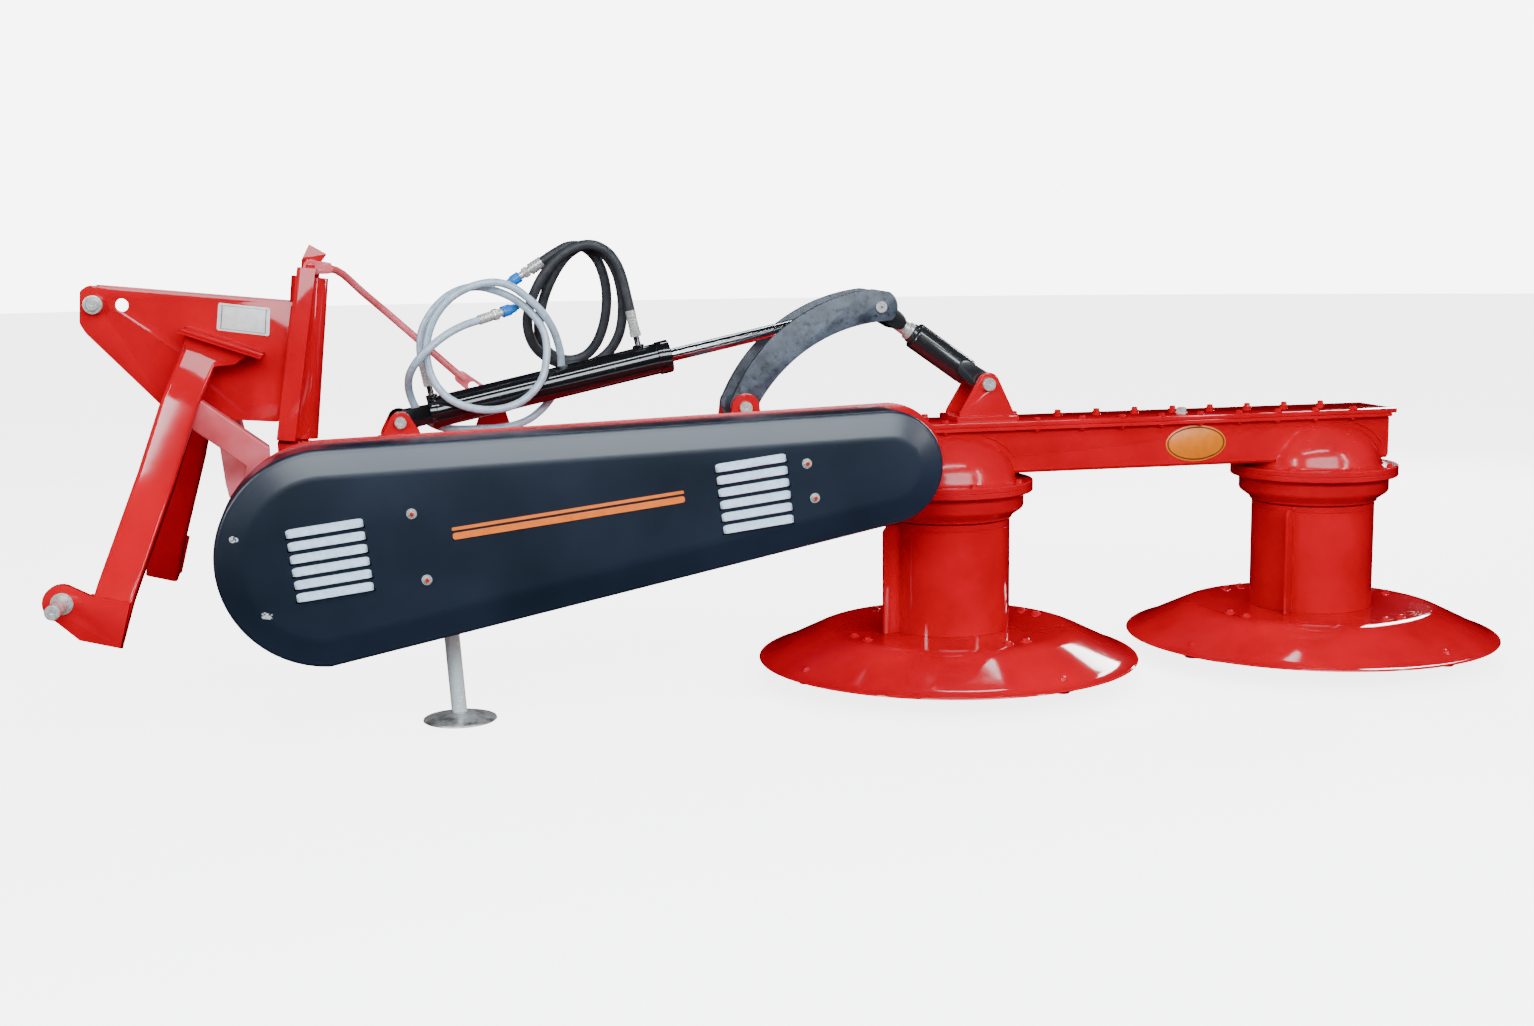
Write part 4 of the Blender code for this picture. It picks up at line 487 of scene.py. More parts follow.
def plate(outline, y0, y1):
    """An outline in X and Z, extruded from y0 to y1."""
    bm = bmesh.new()
    face = bm.faces.new([bm.verts.new((x, y0, z)) for x, z in outline])
    grown = bmesh.ops.extrude_face_region(bm, geom=[face], use_keep_orig=True)["geom"]
    new = [v for v in grown if isinstance(v, bmesh.types.BMVert)]
    bmesh.ops.translate(bm, vec=(0, y1 - y0, 0), verts=new)
    return tidy(bm)


def axis_to(start, end):
    """Matrix that takes +Z at the origin to the line from start to end."""
    start, end = Vector(start), Vector(end)
    return Matrix.Translation(start) @ (end - start).to_track_quat("Z", "Y").to_matrix().to_4x4()


def turned(profile, place=None, facets=96):
    """A (radius, height) profile spun about Z and put in place; closed if it starts off the axis."""
    bm = bmesh.new()
    points = [bm.verts.new((r, 0, z)) for r, z in profile]
    edges = [bm.edges.new(pair) for pair in zip(points, points[1:])]
    if profile[0][0]:
        edges.append(bm.edges.new((points[-1], points[0])))
    bmesh.ops.spin(bm, geom=points + edges, cent=(0, 0, 0), axis=(0, 0, 1), angle=2 * math.pi,
                   steps=facets, use_merge=True)
    tidy(bm)
    return place_all(bm, place) if place is not None else bm


def turned_y(profile, x, z, facets=96):
    """A (radius, y) profile spun about a level axis along Y."""
    place = Matrix.Translation((x, 0, z)) @ Matrix.Rotation(90 * DEG, 4, "X")
    return turned([(r, -y) for r, y in profile], place, facets)


def bar(start, end, radius, facets=40, ease=0.0):
    """A round bar; ease chamfers its rims."""
    length = (Vector(end) - Vector(start)).length
    profile = [(0, 0), (radius - ease, 0)]
    if ease:
        profile += [(radius, ease), (radius, length - ease)]
    profile += [(radius - ease, length), (0, length)]
    return turned(profile, axis_to(start, end), facets)


def cross_bar(x, z, radius, y0, y1, facets=40, ease=0.0):
    return bar((x, y0, z), (x, y1, z), radius, facets, ease)


def loft(loops, closed=False):
    """Walls through rings of equal length: each ring is extruded from the one before."""
    bm = bmesh.new()
    ring = [bm.verts.new(p) for p in loops[0]]
    edges = [bm.edges.new((ring[i - 1], ring[i])) for i in range(len(ring))]
    if not closed:
        bm.faces.new(ring)
    for loop in loops[1:] + loops[:1] * closed:
        grown = bmesh.ops.extrude_edge_only(bm, edges=edges)["geom"]
        new = {v for v in grown if isinstance(v, bmesh.types.BMVert)}
        edges = [e for e in grown if isinstance(e, bmesh.types.BMEdge) and set(e.verts) <= new]
        ring = [next(e.other_vert(v) for e in v.link_edges if e.other_vert(v) in new) for v in ring]
        for vert, point in zip(ring, loop):
            vert.co = point
    if not closed:
        bm.faces.new(ring)
    return tidy(bm)


def swept(points, section):
    """A section of (side, front) points along a path; side lies across X."""
    points = [Vector(p) for p in points]
    loops = []
    for i, point in enumerate(points):
        ahead = (points[min(i + 1, len(points) - 1)] - points[max(i - 1, 0)]).normalized()
        side = ahead.cross(Vector((0, 1, 0))).normalized()
        front = side.cross(ahead).normalized()
        loops.append([point + side * u + front * v for u, v in section])
    return loft(loops)


def pipe(points, radius, facets=16):
    """A round tube along points, its frame carried without twist."""
    points = [Vector(p) for p in points]
    last = len(points) - 1
    ahead = (points[1] - points[0]).normalized()
    side = ahead.orthogonal().normalized()
    loops = []
    for i, point in enumerate(points):
        new = (points[min(i + 1, last)] - points[max(i - 1, 0)]).normalized()
        side = ahead.rotation_difference(new) @ side
        side = (side - new * side.dot(new)).normalized()
        ahead = new
        other = ahead.cross(side)
        grow = radius[i] if isinstance(radius, list) else radius
        angles = [2 * math.pi * k / facets for k in range(facets)]
        loops.append([point + (side * math.cos(a) + other * math.sin(a)) * grow for a in angles])
    return loft(loops)


def weld(points, radius=0.0032):
    """A rippled weld bead along points."""
    points = [Vector(p) for p in points]
    spots = []
    for a, b in zip(points, points[1:]):
        steps = max(2, int((b - a).length / 0.0042))
        spots += [a.lerp(b, k / steps) for k in range(steps)]
    spots.append(points[-1])
    sizes = [radius * (0.82 + 0.18 * (i % 2)) for i in range(len(spots))]
    sizes[0] = sizes[-1] = radius * 0.3
    return pipe(spots, sizes, 6)


def hex_bolt(spot, way, width, height, stud=0.0):
    """A hexagon head on a washer; stud is the thread showing beyond it."""
    place = axis_to(spot, Vector(spot) + Vector(way))
    r = width / math.sqrt(3)
    washer = [(0, -0.0005), (width * 0.74, -0.0005), (width * 0.76, 0.0006), (width * 0.72, 0.0014),
              (0, 0.0014)]
    head = [(0, 0.0013), (r, 0.0013), (r, height * 0.82), (r * 0.86, height), (0, height)]
    parts = [turned(washer, place, 20), turned(head, place, 6)]
    if stud:
        thick, low, high = width * 0.30, height - 0.001, height + stud
        parts.append(turned([(0, low), (thick, low), (thick, high - 0.0006), (width * 0.26, high), (0, high)],
                            place, 12))
    return together(parts)


def button(spot, way, radius, height):
    """A low domed bolt head on a washer, painted over."""
    return turned([(0, -0.001), (radius * 1.5, -0.001), (radius * 1.5, 0.0012), (radius * 1.38, 0.0022),
                   (radius, 0.0024), (radius * 0.94, height * 0.62), (radius * 0.72, height * 0.88),
                   (radius * 0.4, height), (0, height)], axis_to(spot, Vector(spot) + Vector(way)), 20)


def turned_pin(x, z, y0, y1, radius, ease=0.0018):
    """A cross pin with chamfered ends and a centre mark."""
    length = y1 - y0
    profile = [(0, 0.0012), (radius * 0.16, 0.0004), (radius * 0.20, 0), (radius - ease, 0), (radius, ease),
               (radius, length - ease), (radius - ease, length), (radius * 0.20, length),
               (radius * 0.16, length - 0.0004), (0, length - 0.0012)]
    return turned(profile, axis_to((x, y0, z), (x, y1, z)), 44)


def collar(x, z, inner, outer, y0, y1):
    """A flat ring about a cross pin."""
    return turned_y(soften([(inner, y0), (outer, y0), (outer, y1), (inner, y1)], 0.0008, 2), x, z, 40)


def in_order(bm):
    """Sort the vertices, edges and faces by place, so that every run goes the same way."""
    def place(spot):
        x, y, z = (round(c * 100000) for c in spot)
        return (x * 131072 + y) * 131072 + z

    bm.verts.sort(key=lambda v: place(v.co))
    bm.edges.sort(key=lambda e: place((e.verts[0].co + e.verts[1].co) / 2))
    bm.faces.sort(key=lambda f: place(f.calc_center_median()))


def fuse(solids, cuts=()):
    """One bmesh: the union of the solids, less the cuts."""
    made = []
    for bm in (*solids, *cuts):
        mesh = bpy.data.meshes.new("solid")
        tidy(bm).to_mesh(mesh)
        bm.free()
        made.append(bpy.data.objects.new("solid", mesh))
        bpy.context.scene.collection.objects.link(made[-1])
    for i, other in enumerate(made[1:], 1):
        step = made[0].modifiers.new("step", "BOOLEAN")
        step.operation = "UNION" if i < len(solids) else "DIFFERENCE"
        step.solver = "MANIFOLD"
        step.object = other
    shown = made[0].evaluated_get(bpy.context.evaluated_depsgraph_get())
    bm = bmesh.new()
    bm.from_mesh(shown.to_mesh())
    shown.to_mesh_clear()
    for old in made:
        mesh = old.data
        bpy.data.objects.remove(old)
        bpy.data.meshes.remove(mesh)
    in_order(bm)
    bmesh.ops.dissolve_limit(bm, angle_limit=0.2 * DEG, verts=bm.verts, edges=bm.edges)
    return tidy(bm)


SHARP_EDGE = 35 * DEG       # angle between faces from which an edge is bevelled


def eased(bm, offset):
    """Bevel the sharp edges."""
    rims = [e for e in bm.edges if e.is_manifold and e.calc_face_angle(0) > SHARP_EDGE]
    bmesh.ops.bevel(bm, geom=rims, offset=offset, offset_type="OFFSET", segments=2, profile=0.5,
                    affect="EDGES", clamp_overlap=True, material=-1)
    return bm


def piece(name, look, body, solids, cuts=(), extras=(), replaces=(), ease=0.0, place=None, smooth=28):
    """A finished piece of the mower: fused solids with eased edges, and loose extras."""
    solids = list(solids)
    bm = fuse(solids, cuts) if len(solids) > 1 or cuts else tidy(solids[0])
    if ease:
        eased(bm, ease)
    for extra in extras:
        merge(bm, extra)
    if place is not None:
        place_all(bm, place)
    bmesh.ops.recalc_face_normals(bm, faces=bm.faces)
    mesh = bpy.data.meshes.new(name)
    bm.to_mesh(mesh)
    bm.free()
    made = bpy.data.objects.new(name, mesh)
    bpy.context.scene.collection.objects.link(made)
    mesh.materials.append(FINISHES[look])
    mesh.shade_smooth()
    mesh.set_sharp_from_angle(angle=smooth * DEG)
    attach(made, body)
    if replaces:
        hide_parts(*replaces)
    return made


# Outlines and paths

def oval(x, y, wide, high, angles):
    """Points on an oval with half axes wide and high, at the given angles in degrees."""
    return [(x + wide * math.cos(a * DEG), y + high * math.sin(a * DEG)) for a in angles]


def around(x, y, radius, angles):
    return oval(x, y, radius, radius, angles)


def arc(x, y, radius, start, end, count):
    """Evenly spaced points on an arc, angles in degrees."""
    return around(x, y, radius, [start + (end - start) * i / (count - 1) for i in range(count)])


def arc_through(a, b, c, count):
    """Points on the circle from a over b to c."""
    (ax, az), (bx, bz), (cx, cz) = a, b, c
    d = 2 * (ax * (bz - cz) + bx * (cz - az) + cx * (az - bz))
    sa, sb, sc = ax * ax + az * az, bx * bx + bz * bz, cx * cx + cz * cz
    ux = (sa * (bz - cz) + sb * (cz - az) + sc * (az - bz)) / d
    uz = (sa * (cx - bx) + sb * (ax - cx) + sc * (bx - ax)) / d
    first, middle, last = (math.degrees(math.atan2(z - uz, x - ux)) for x, z in (a, b, c))
    span = (last - first) % 360
    if (middle - first) % 360 > span:
        span -= 360
    return arc(ux, uz, math.hypot(ax - ux, az - uz), first, first + span, count)


ROUND_END = 20              # points about each end of a rounded bar


def rounded_bar(a, b, radius_a, radius_b):
    """Outline of a bar in X and Z with a round end about each point."""
    angle = math.degrees(math.atan2(b[1] - a[1], b[0] - a[0]))
    return (arc(b[0], b[1], radius_b, angle - 90, angle + 90, ROUND_END)
            + arc(a[0], a[1], radius_a, angle + 90, angle + 270, ROUND_END))


def soften(outline, radius, steps=4):
    """The outline with its corners rounded."""
    out = []
    for i, point in enumerate(outline):
        here = Vector(point)
        a, b = Vector(outline[i - 1]) - here, Vector(outline[(i + 1) % len(outline)]) - here
        r = min(radius, a.length * 0.45, b.length * 0.45)
        start, end = here + a.normalized() * r, here + b.normalized() * r
        for k in range(steps + 1):
            t = k / steps
            out.append(tuple(start.lerp(here, t).lerp(here.lerp(end, t), t)))
    return out


def rectangle(x0, y0, x1, y1):
    return [(x0, y0), (x1, y0), (x1, y1), (x0, y1)]


def tube_section(wide, deep, corner):
    return soften(rectangle(-wide / 2, -deep / 2, wide / 2, deep / 2), corner, 4)


def to_side(side, a, b):
    """Two distances from the middle plane, taken to one side, the lower first."""
    return sorted((side * a, side * b))


def along(a, b, distance, off=0.0):
    """A point at a distance from a towards b, and off to the upper side."""
    length = math.hypot(b[0] - a[0], b[1] - a[1])
    ux, uz = (b[0] - a[0]) / length, (b[1] - a[1]) / length
    return (a[0] + ux * distance - uz * off, a[1] + uz * distance + ux * off)


def flat(point):
    return (point[0], 0.0, point[1])


def cylinder_spot(distance, off=0.0):
    """A point on the cylinder's line, measured from its base pin."""
    return flat(along(PIN_A, PIN_C, distance, off))


def smooth_path(points, count=6):
    """More points on a Catmull-Rom curve through the given ones."""
    points = [Vector(p) for p in points]
    ends = [2 * points[0] - points[1], *points, 2 * points[-1] - points[-2]]
    out = []
    for i in range(1, len(ends) - 2):
        p0, p1, p2, p3 = ends[i - 1:i + 3]
        for k in range(count):
            t = k / count
            out.append(0.5 * (2 * p1 + (p2 - p0) * t + (2 * p0 - 5 * p1 + 4 * p2 - p3) * t ** 2
                              + (3 * p1 - p0 - 3 * p2 + p3) * t ** 3))
    return out + [points[-1]]


def spline(points, spacing):
    """Evenly spaced points on a smooth curve through the given ones."""
    fine = smooth_path(points, 24)
    total = sum((b - a).length for a, b in zip(fine, fine[1:]))
    count = max(2, round(total / spacing))
    out, walked, k = [fine[0]], 0.0, 0
    for i in range(1, count):
        target = total * i / count
        while walked + (fine[k + 1] - fine[k]).length < target:
            walked += (fine[k + 1] - fine[k]).length
            k += 1
        out.append(fine[k].lerp(fine[k + 1], (target - walked) / (fine[k + 1] - fine[k]).length))
    return out + [fine[-1]], total


def post_x(z):
    """X of the leaning swing axis at a height."""
    share = (z - POST_FOOT[1]) / (POST_TOP[1] - POST_FOOT[1])
    return POST_FOOT[0] + share * (POST_TOP[0] - POST_FOOT[0])


def post_bar(z0, z1, radius, facets):
    """A round bar on the swing axis."""
    return bar((post_x(z0), 0, z0), (post_x(z1), 0, z1), radius, facets)


POST_LEAN = (POST_TOP[0] - POST_FOOT[0]) / (POST_TOP[1] - POST_FOOT[1])
TILT_X = post_x(TILT_Z)
TIE_TOP_Z = 0.972
TIE_TOP = (post_x(TIE_TOP_Z), TIE_TOP_Z)
TIE_EYE = (-1.030, 0.672)
DRUMS = (("inner", 0.0), ("outer", DRUM_SPACING))


# Camera first, then the hoses

CAMERA_SPOT = (-1.3643, -4.0797, 1.0200)
CAMERA_YAW = 12.92 * DEG
CAMERA_PITCH = 8.37 * DEG
CAMERA_ROLL = 0.73 * DEG
LENS, SENSOR = 43.86, 36.0  # millimetres


def camera():
    """The photo's viewpoint."""
    yaw, pitch, roll = CAMERA_YAW, CAMERA_PITCH, CAMERA_ROLL
    forward = Vector((math.sin(yaw) * math.cos(pitch), math.cos(yaw) * math.cos(pitch), -math.sin(pitch)))
    right = Vector((math.cos(yaw), -math.sin(yaw), 0))
    down = forward.cross(right)
    across = right * math.cos(roll) + down * math.sin(roll)
    up = right * math.sin(roll) - down * math.cos(roll)
    data = bpy.data.cameras.new("photo")
    data.lens = LENS
    data.sensor_width = SENSOR
    view = bpy.data.objects.new("photo", data)
    bpy.context.scene.collection.objects.link(view)
    turn = Matrix((across, up, -forward)).transposed().to_4x4()
    view.matrix_world = Matrix.Translation(CAMERA_SPOT) @ turn
    bpy.context.scene.camera = view


GREY_R, BLACK_R = 0.0085, 0.0110
HOSE_STEP = 0.034
GREY_PATH = (
    (-1.186, 0.000, 0.820), (-1.166, 0.000, 0.863), (-1.134, 0.000, 0.899), (-1.097, 0.000, 0.919),
    (-1.058, 0.000, 0.924), (-1.014, -0.002, 0.912), (-0.972, -0.006, 0.889), (-0.934, -0.011, 0.848),
    (-0.918, -0.022, 0.800), (-0.930, -0.042, 0.730), (-0.962, -0.051, 0.691), (-1.000, -0.054, 0.670),
    (-1.044, -0.054, 0.663), (-1.084, -0.052, 0.668), (-1.124, -0.048, 0.684), (-1.156, -0.041, 0.716),
    (-1.174, -0.034, 0.767), (-1.170, -0.030, 0.825), (-1.147, -0.028, 0.873), (-1.113, -0.027, 0.907),
    (-1.073, -0.028, 0.926), (-1.030, -0.029, 0.934), (-0.990, -0.028, 0.924), (-0.943, -0.024, 0.887),
    (-0.913, -0.012, 0.851), (-0.892, 0.010, 0.808), (-0.881, 0.032, 0.757), (-0.889, 0.049, 0.704),
    (-0.914, 0.053, 0.662), (-0.958, 0.051, 0.628), (-1.007, 0.048, 0.6155), (-1.060, 0.046, 0.6140),
    (-1.120, 0.043, 0.6155), (-1.162, 0.038, 0.627), (-1.191, 0.033, 0.652), (-1.208, 0.024, 0.685),
    (-1.214, 0.002, 0.713), (-1.213, -0.027, 0.738), (-1.203, -0.049, 0.762), (-1.186, -0.060, 0.783),
    (-1.163, -0.058, 0.804), (-1.135, -0.046, 0.824),
    (-1.101, -0.031, 0.841), (-1.062, -0.016, 0.853))
BLACK_PATH = (
    (-0.743, 0.000, 0.925), (-0.758, 0.000, 0.968), (-0.785, 0.000, 1.000), (-0.822, 0.000, 1.011),
    (-0.866, 0.002, 0.996), (-0.912, 0.007, 0.953), (-0.942, 0.016, 0.897), (-0.953, 0.029, 0.842),
    (-0.938, 0.046, 0.793), (-0.902, 0.064, 0.761), (-0.857, 0.074, 0.745), (-0.815, 0.072, 0.747),
    (-0.778, 0.060, 0.768), (-0.752, 0.046, 0.807), (-0.742, 0.036, 0.860), (-0.746, 0.030, 0.915),
    (-0.762, 0.027, 0.965), (-0.795, 0.027, 1.002), (-0.835, 0.027, 1.006), (-0.872, 0.030, 0.977),
    (-0.903, 0.036, 0.925), (-0.921, 0.049, 0.868), (-0.924, 0.069, 0.818), (-0.905, 0.090, 0.779),
    (-0.868, 0.101, 0.757), (-0.826, 0.100, 0.761), (-0.795, 0.087, 0.792), (-0.777, 0.072, 0.845),
    (-0.773, 0.061, 0.905), (-0.785, 0.055, 0.960), (-0.808, 0.054, 0.996), (-0.842, 0.054, 1.010),
    (-0.880, 0.056, 0.996), (-0.914, 0.058, 0.975))
CRIMPS = 4                  # grooves pressed into a hose end's shell
CAP_RIBS = 14               # on a dust cap
COUPLER_LENGTH = 0.058


def hose_coupler(end, way, shell):
    """Crimped shell, hexagon and nipple at a hose's free end."""
    crimp = [(0, 0.0003), (shell - 0.0008, 0.0003), (shell, 0.0012)]
    for k in range(CRIMPS):
        at = 0.0050 + k * 0.0062
        crimp += [(shell, at), (shell - 0.0009, at + 0.0010), (shell - 0.0009, at + 0.0022),
                  (shell, at + 0.0032)]
    crimp += [(shell, 0.0300), (shell - 0.0012, 0.0320), (0.0086, 0.0328), (0.0086, 0.0362), (0, 0.0362)]
    nut = axis_to(end + way * 0.0358, end + way)
    hexagon = [(0, 0), (0.0118, 0), (0.0135, 0.0016), (0.0135, 0.0106), (0.0118, 0.0122), (0, 0.0122)]
    nipple = [(0, 0.0118), (0.0112, 0.0118), (0.0112, 0.0128), (0.0085, 0.0134), (0.0085, 0.0150),
              (0.0078, 0.0156), (0.0085, 0.0162), (0.0085, 0.0222), (0, 0.0222)]
    return together([turned(crimp, axis_to(end, end + way), 28), turned(hexagon, nut, 6),
                     turned(nipple, nut, 24)])


def ribbed_cap(end, way):
    """Moulded dust cap with upright ribs round its skirt."""
    place = axis_to(end, end + way)
    profile = [(0, 0), (0.0117, 0), (0.0125, 0.0008), (0.0125, 0.0030), (0.0119, 0.0036), (0.0119, 0.0168),
               (0.0125, 0.0174), (0.0125, 0.0194), (0.0116, 0.0202), (0.0105, 0.0206), (0.0086, 0.0332),
               (0.0078, 0.0340), (0.0060, 0.0344), (0.0060, 0.0398), (0.0046, 0.0418), (0, 0.0420)]
    cap = [turned(profile, place, 28)]
    for k in range(CAP_RIBS):
        rib = eased(block((0.0112, -0.0006, 0.0042), (0.01245, 0.0006, 0.0162)), 0.0003)
        cap.append(place_all(rib, place @ Matrix.Rotation(2 * math.pi * k / CAP_RIBS, 4, "Z")))
    return together(cap)


def hoses():
    """Two free hoses, each with its coupler and dust cap."""
    for label, port, tip, path, radius in (("grey", PORTS[0], PORT_TIPS[0], GREY_PATH, GREY_R),
                                           ("black", PORTS[1], PORT_TIPS[1], BLACK_PATH, BLACK_R)):
        start, up = Vector(cylinder_spot(port, tip + GAP)), Vector(cylinder_spot(port, tip + HOSE_STEP))
        points, length = spline([start, up, *path], HOSE_STEP)
        points[1] = start + (up - start).normalized() * HOSE_STEP * 0.8
        tube = piece(label + "_hose_tube", label + "_hose", "barrel",
                     [pipe(smooth_path(points, 4), radius, 20)], replaces=[label + "_hose"], smooth=60)
        end = points[-1]
        way = (end - points[-2]).normalized()
        coupler = piece(label + "_coupler_turned", "zinc", "barrel",
                        [hose_coupler(end, way, radius + 0.0022)], replaces=[label + "_coupler"])
        dust_cap = piece(label + "_dust_cap", "blue_cap", "barrel",
                         [ribbed_cap(end + way * (COUPLER_LENGTH + GAP), way)], replaces=[label + "_cap"])


# Drums

def about(x, degrees):
    return Matrix.Translation((x, 0, 0)) @ Matrix.Rotation(degrees * DEG, 4, "Z")


def drum_shell(side, x):
    """Sheet drum with its top, two upright fins and their stitch welds."""
    floor = RING_HEIGHT + GAP
    inner, top = DRUM_RADIUS - SHEET, DRUM_TOP
    profile = [(inner, floor), (DRUM_RADIUS, floor), (DRUM_RADIUS, top - 0.0165),
               (DRUM_RADIUS - 0.0010, top - 0.0158), (DRUM_RADIUS - 0.0010, top - 0.0142),
               (DRUM_RADIUS, top - 0.0135), (DRUM_RADIUS, top - 0.0012), (DRUM_RADIUS - 0.0012, top),
               (SHAFT_R + RUN, top), (SHAFT_R + RUN, top - 1.5 * SHEET), (inner, top - 1.5 * SHEET)]
    extras = []
    half, reach, high = FIN_THICKNESS / 2, DRUM_RADIUS + FIN_DEPTH, top - 0.005
    stitches = ((floor + 0.004, floor + 0.045), (0.215, 0.262), (0.318, high - 0.006))
    for k in range(FIN_COUNT):
        outline = soften([(inner + 0.002, floor), (reach, floor), (reach, high - 0.012),
                          (reach - 0.012, high), (inner + 0.002, high)], 0.0025, 2)
        parts = [eased(plate(outline, -half, half), 0.0007)]
        for way in (-1, 1):
            y = way * (half + 0.0006)
            for low, upper in stitches:
                parts.append(weld([(DRUM_RADIUS + 0.0008, y, low), (DRUM_RADIUS + 0.0008, y, upper)], 0.0024))
        extras.append(place_all(together(parts), about(x, FIN_ANGLES[side] + k * 360 / FIN_COUNT)))
    piece(side + "_drum_drawn", "red_paint", side + "_drum", [turned(profile, about(x, 0), 128)],
          extras=extras, replaces=[side + "_drum_shell"])


def cone_height(radius):
    """Height of the skirt's cone at a radius."""
    share = (radius - CREASE_RADIUS) / (RIM_RADIUS - CREASE_RADIUS)
    return RING_HEIGHT - share * (RING_HEIGHT - RIM_HEIGHT)


def drum_skirt(side, x):
    """Spun skirt with a soft crease, blade carriers, pins and bolt heads."""
    drop, h = SHEET * 1.12, RING_HEIGHT
    a, b, c = (Vector((CREASE_RADIUS - 0.022, h)), Vector((CREASE_RADIUS, h)),
               Vector((CREASE_RADIUS + 0.024, cone_height(CREASE_RADIUS + 0.024))))
    upper = [(RING_BORE, h - 0.0008), (RING_BORE + 0.0008, h)]
    upper += [tuple(a.lerp(b, k / 8).lerp(b.lerp(c, k / 8), k / 8)) for k in range(9)]
    upper += [(r, cone_height(r)) for r in (CREASE_RADIUS + 0.05, CREASE_RADIUS + 0.085, RIM_RADIUS - 0.030)]
    upper += [(RIM_RADIUS - 0.012, cone_height(RIM_RADIUS - 0.012) - 0.0003),
              (RIM_RADIUS - 0.0035, RIM_HEIGHT + 0.0048), (RIM_RADIUS - 0.0008, RIM_HEIGHT + 0.0030),
              (RIM_RADIUS, RIM_HEIGHT + 0.0012), (RIM_RADIUS - 0.0008, RIM_HEIGHT)]
    under = [(RIM_RADIUS - SHEET, RIM_HEIGHT + 0.0006), (CREASE_RADIUS + 0.004, h - drop - 0.002),
             (CREASE_RADIUS - 0.010, h - SHEET), (RING_BORE, h - SHEET)]
    pin = BLADE_PIN_RADIUS
    reach, low = pin + 0.022, BLADE_HEIGHT + BLADE_THICKNESS + RUN
    carrier = [(CARRIER_START, h - 1.5 * SHEET - 0.006), (CARRIER_START, h - SHEET + 0.0015),
               (CREASE_RADIUS - 0.006, h - SHEET + 0.0015), (pin - 0.02, cone_height(pin - 0.02) - 0.003),
               (reach, cone_height(reach) - 0.003), (reach, low), (pin - 0.022, low),
               (CREASE_RADIUS - 0.002, h - 1.5 * SHEET - 0.006)]
    slope = Vector((h - RIM_HEIGHT, 0, RIM_RADIUS - CREASE_RADIUS)).normalized()
    foot = BLADE_HEIGHT - RUN
    extras = []
    for k in range(BLADE_COUNT):
        angle = BLADE_ANGLE + k * 360 / BLADE_COUNT
        parts = [eased(plate(carrier, -0.024, 0.024), 0.0012),
                 bar((pin, 0, cone_height(pin) - drop), (pin, 0, foot - 0.001), PIN_BLADE_R, 28),
                 bar((pin, 0, foot), (pin, 0, foot - 0.004), PIN_BLADE_R * 1.7, 28, 0.001),
                 button((pin, 0, cone_height(pin)), slope, 0.0078, 0.0052)]
        extras.append(place_all(together(parts), about(x, angle)))
        extras += [place_all(button((RING_BOLTS, 0, h), (0, 0, 1), 0.0088, 0.0075), about(x, angle + off))
                   for off in (-6, 6)]
    piece(side + "_skirt_spun", "red_paint", side + "_drum", [turned(upper + under, about(x, 0), 144)],
          extras=extras, replaces=[side + "_drum_skirt"])


def skid_dish(side, x):
    """Smooth pressed dish that the drum stands on."""
    rim, rise, sheet = SKID_RADIUS, SKID_RISE, SKID_PLATE
    outer = smooth_path([(SKID_FLAT - 0.03, 0, 0), (SKID_FLAT, 0, 0), (rim * 0.82, 0, rise * 0.35),
                         (rim, 0, rise)], 6)
    outer = [(p.x, max(0.0, p.z)) for p in outer]
    inner = [(a, b + sheet) for a, b in reversed(outer)]
    inner[0] = (rim - 0.002, rise + sheet)
    bore = SHAFT_R + RUN
    profile = [(0, 0), *outer, *inner, (SHAFT_R + 0.012, sheet), (SHAFT_R + 0.012, sheet + 0.073),
               (SHAFT_R + 0.010, sheet + 0.075), (bore, sheet + 0.075), (bore, sheet), (0, sheet)]
    piece(side + "_skid_pressed", "red_paint", side + "_skid", [turned(profile, about(x, 0), 96)],
          replaces=[side + "_skid_dish"], smooth=34)


def blades(side, x):
    """Four swinging blades with ground edges."""
    half = BLADE_WIDTH / 2
    outline = arc(0, 0, half, 90, 270, 19) + [(BLADE_LENGTH - 0.02, -half), (BLADE_LENGTH, -half + 0.008),
                                              (BLADE_LENGTH, half - 0.008), (BLADE_LENGTH - 0.02, half)]
    for k in range(BLADE_COUNT):
        angle = BLADE_ANGLE + k * 360 / BLADE_COUNT
        spot = Matrix.Translation((x + BLADE_PIN_RADIUS * math.cos(angle * DEG),
                                   BLADE_PIN_RADIUS * math.sin(angle * DEG), BLADE_HEIGHT))
        blade = place_all(plate(outline, 0, -BLADE_THICKNESS), Matrix.Rotation(90 * DEG, 4, "X"))
        place_all(blade, Matrix.Diagonal((1, -1, 1, 1)))
        bmesh.ops.translate(blade, vec=(0, 0, -min(v.co.z for v in blade.verts)), verts=blade.verts)
        eye = bar((0, 0, -0.01), (0, 0, 0.02), PIN_BLADE_R + 2 * RUN, 24)
        name = f"{side}_blade_{k + 1}"
        piece(name + "_ground", "steel", name, [blade], [eye], replaces=[name], ease=0.0006,
              place=spot @ Matrix.Rotation((angle + BLADE_FOLD) * DEG, 4, "Z"))


# Beam

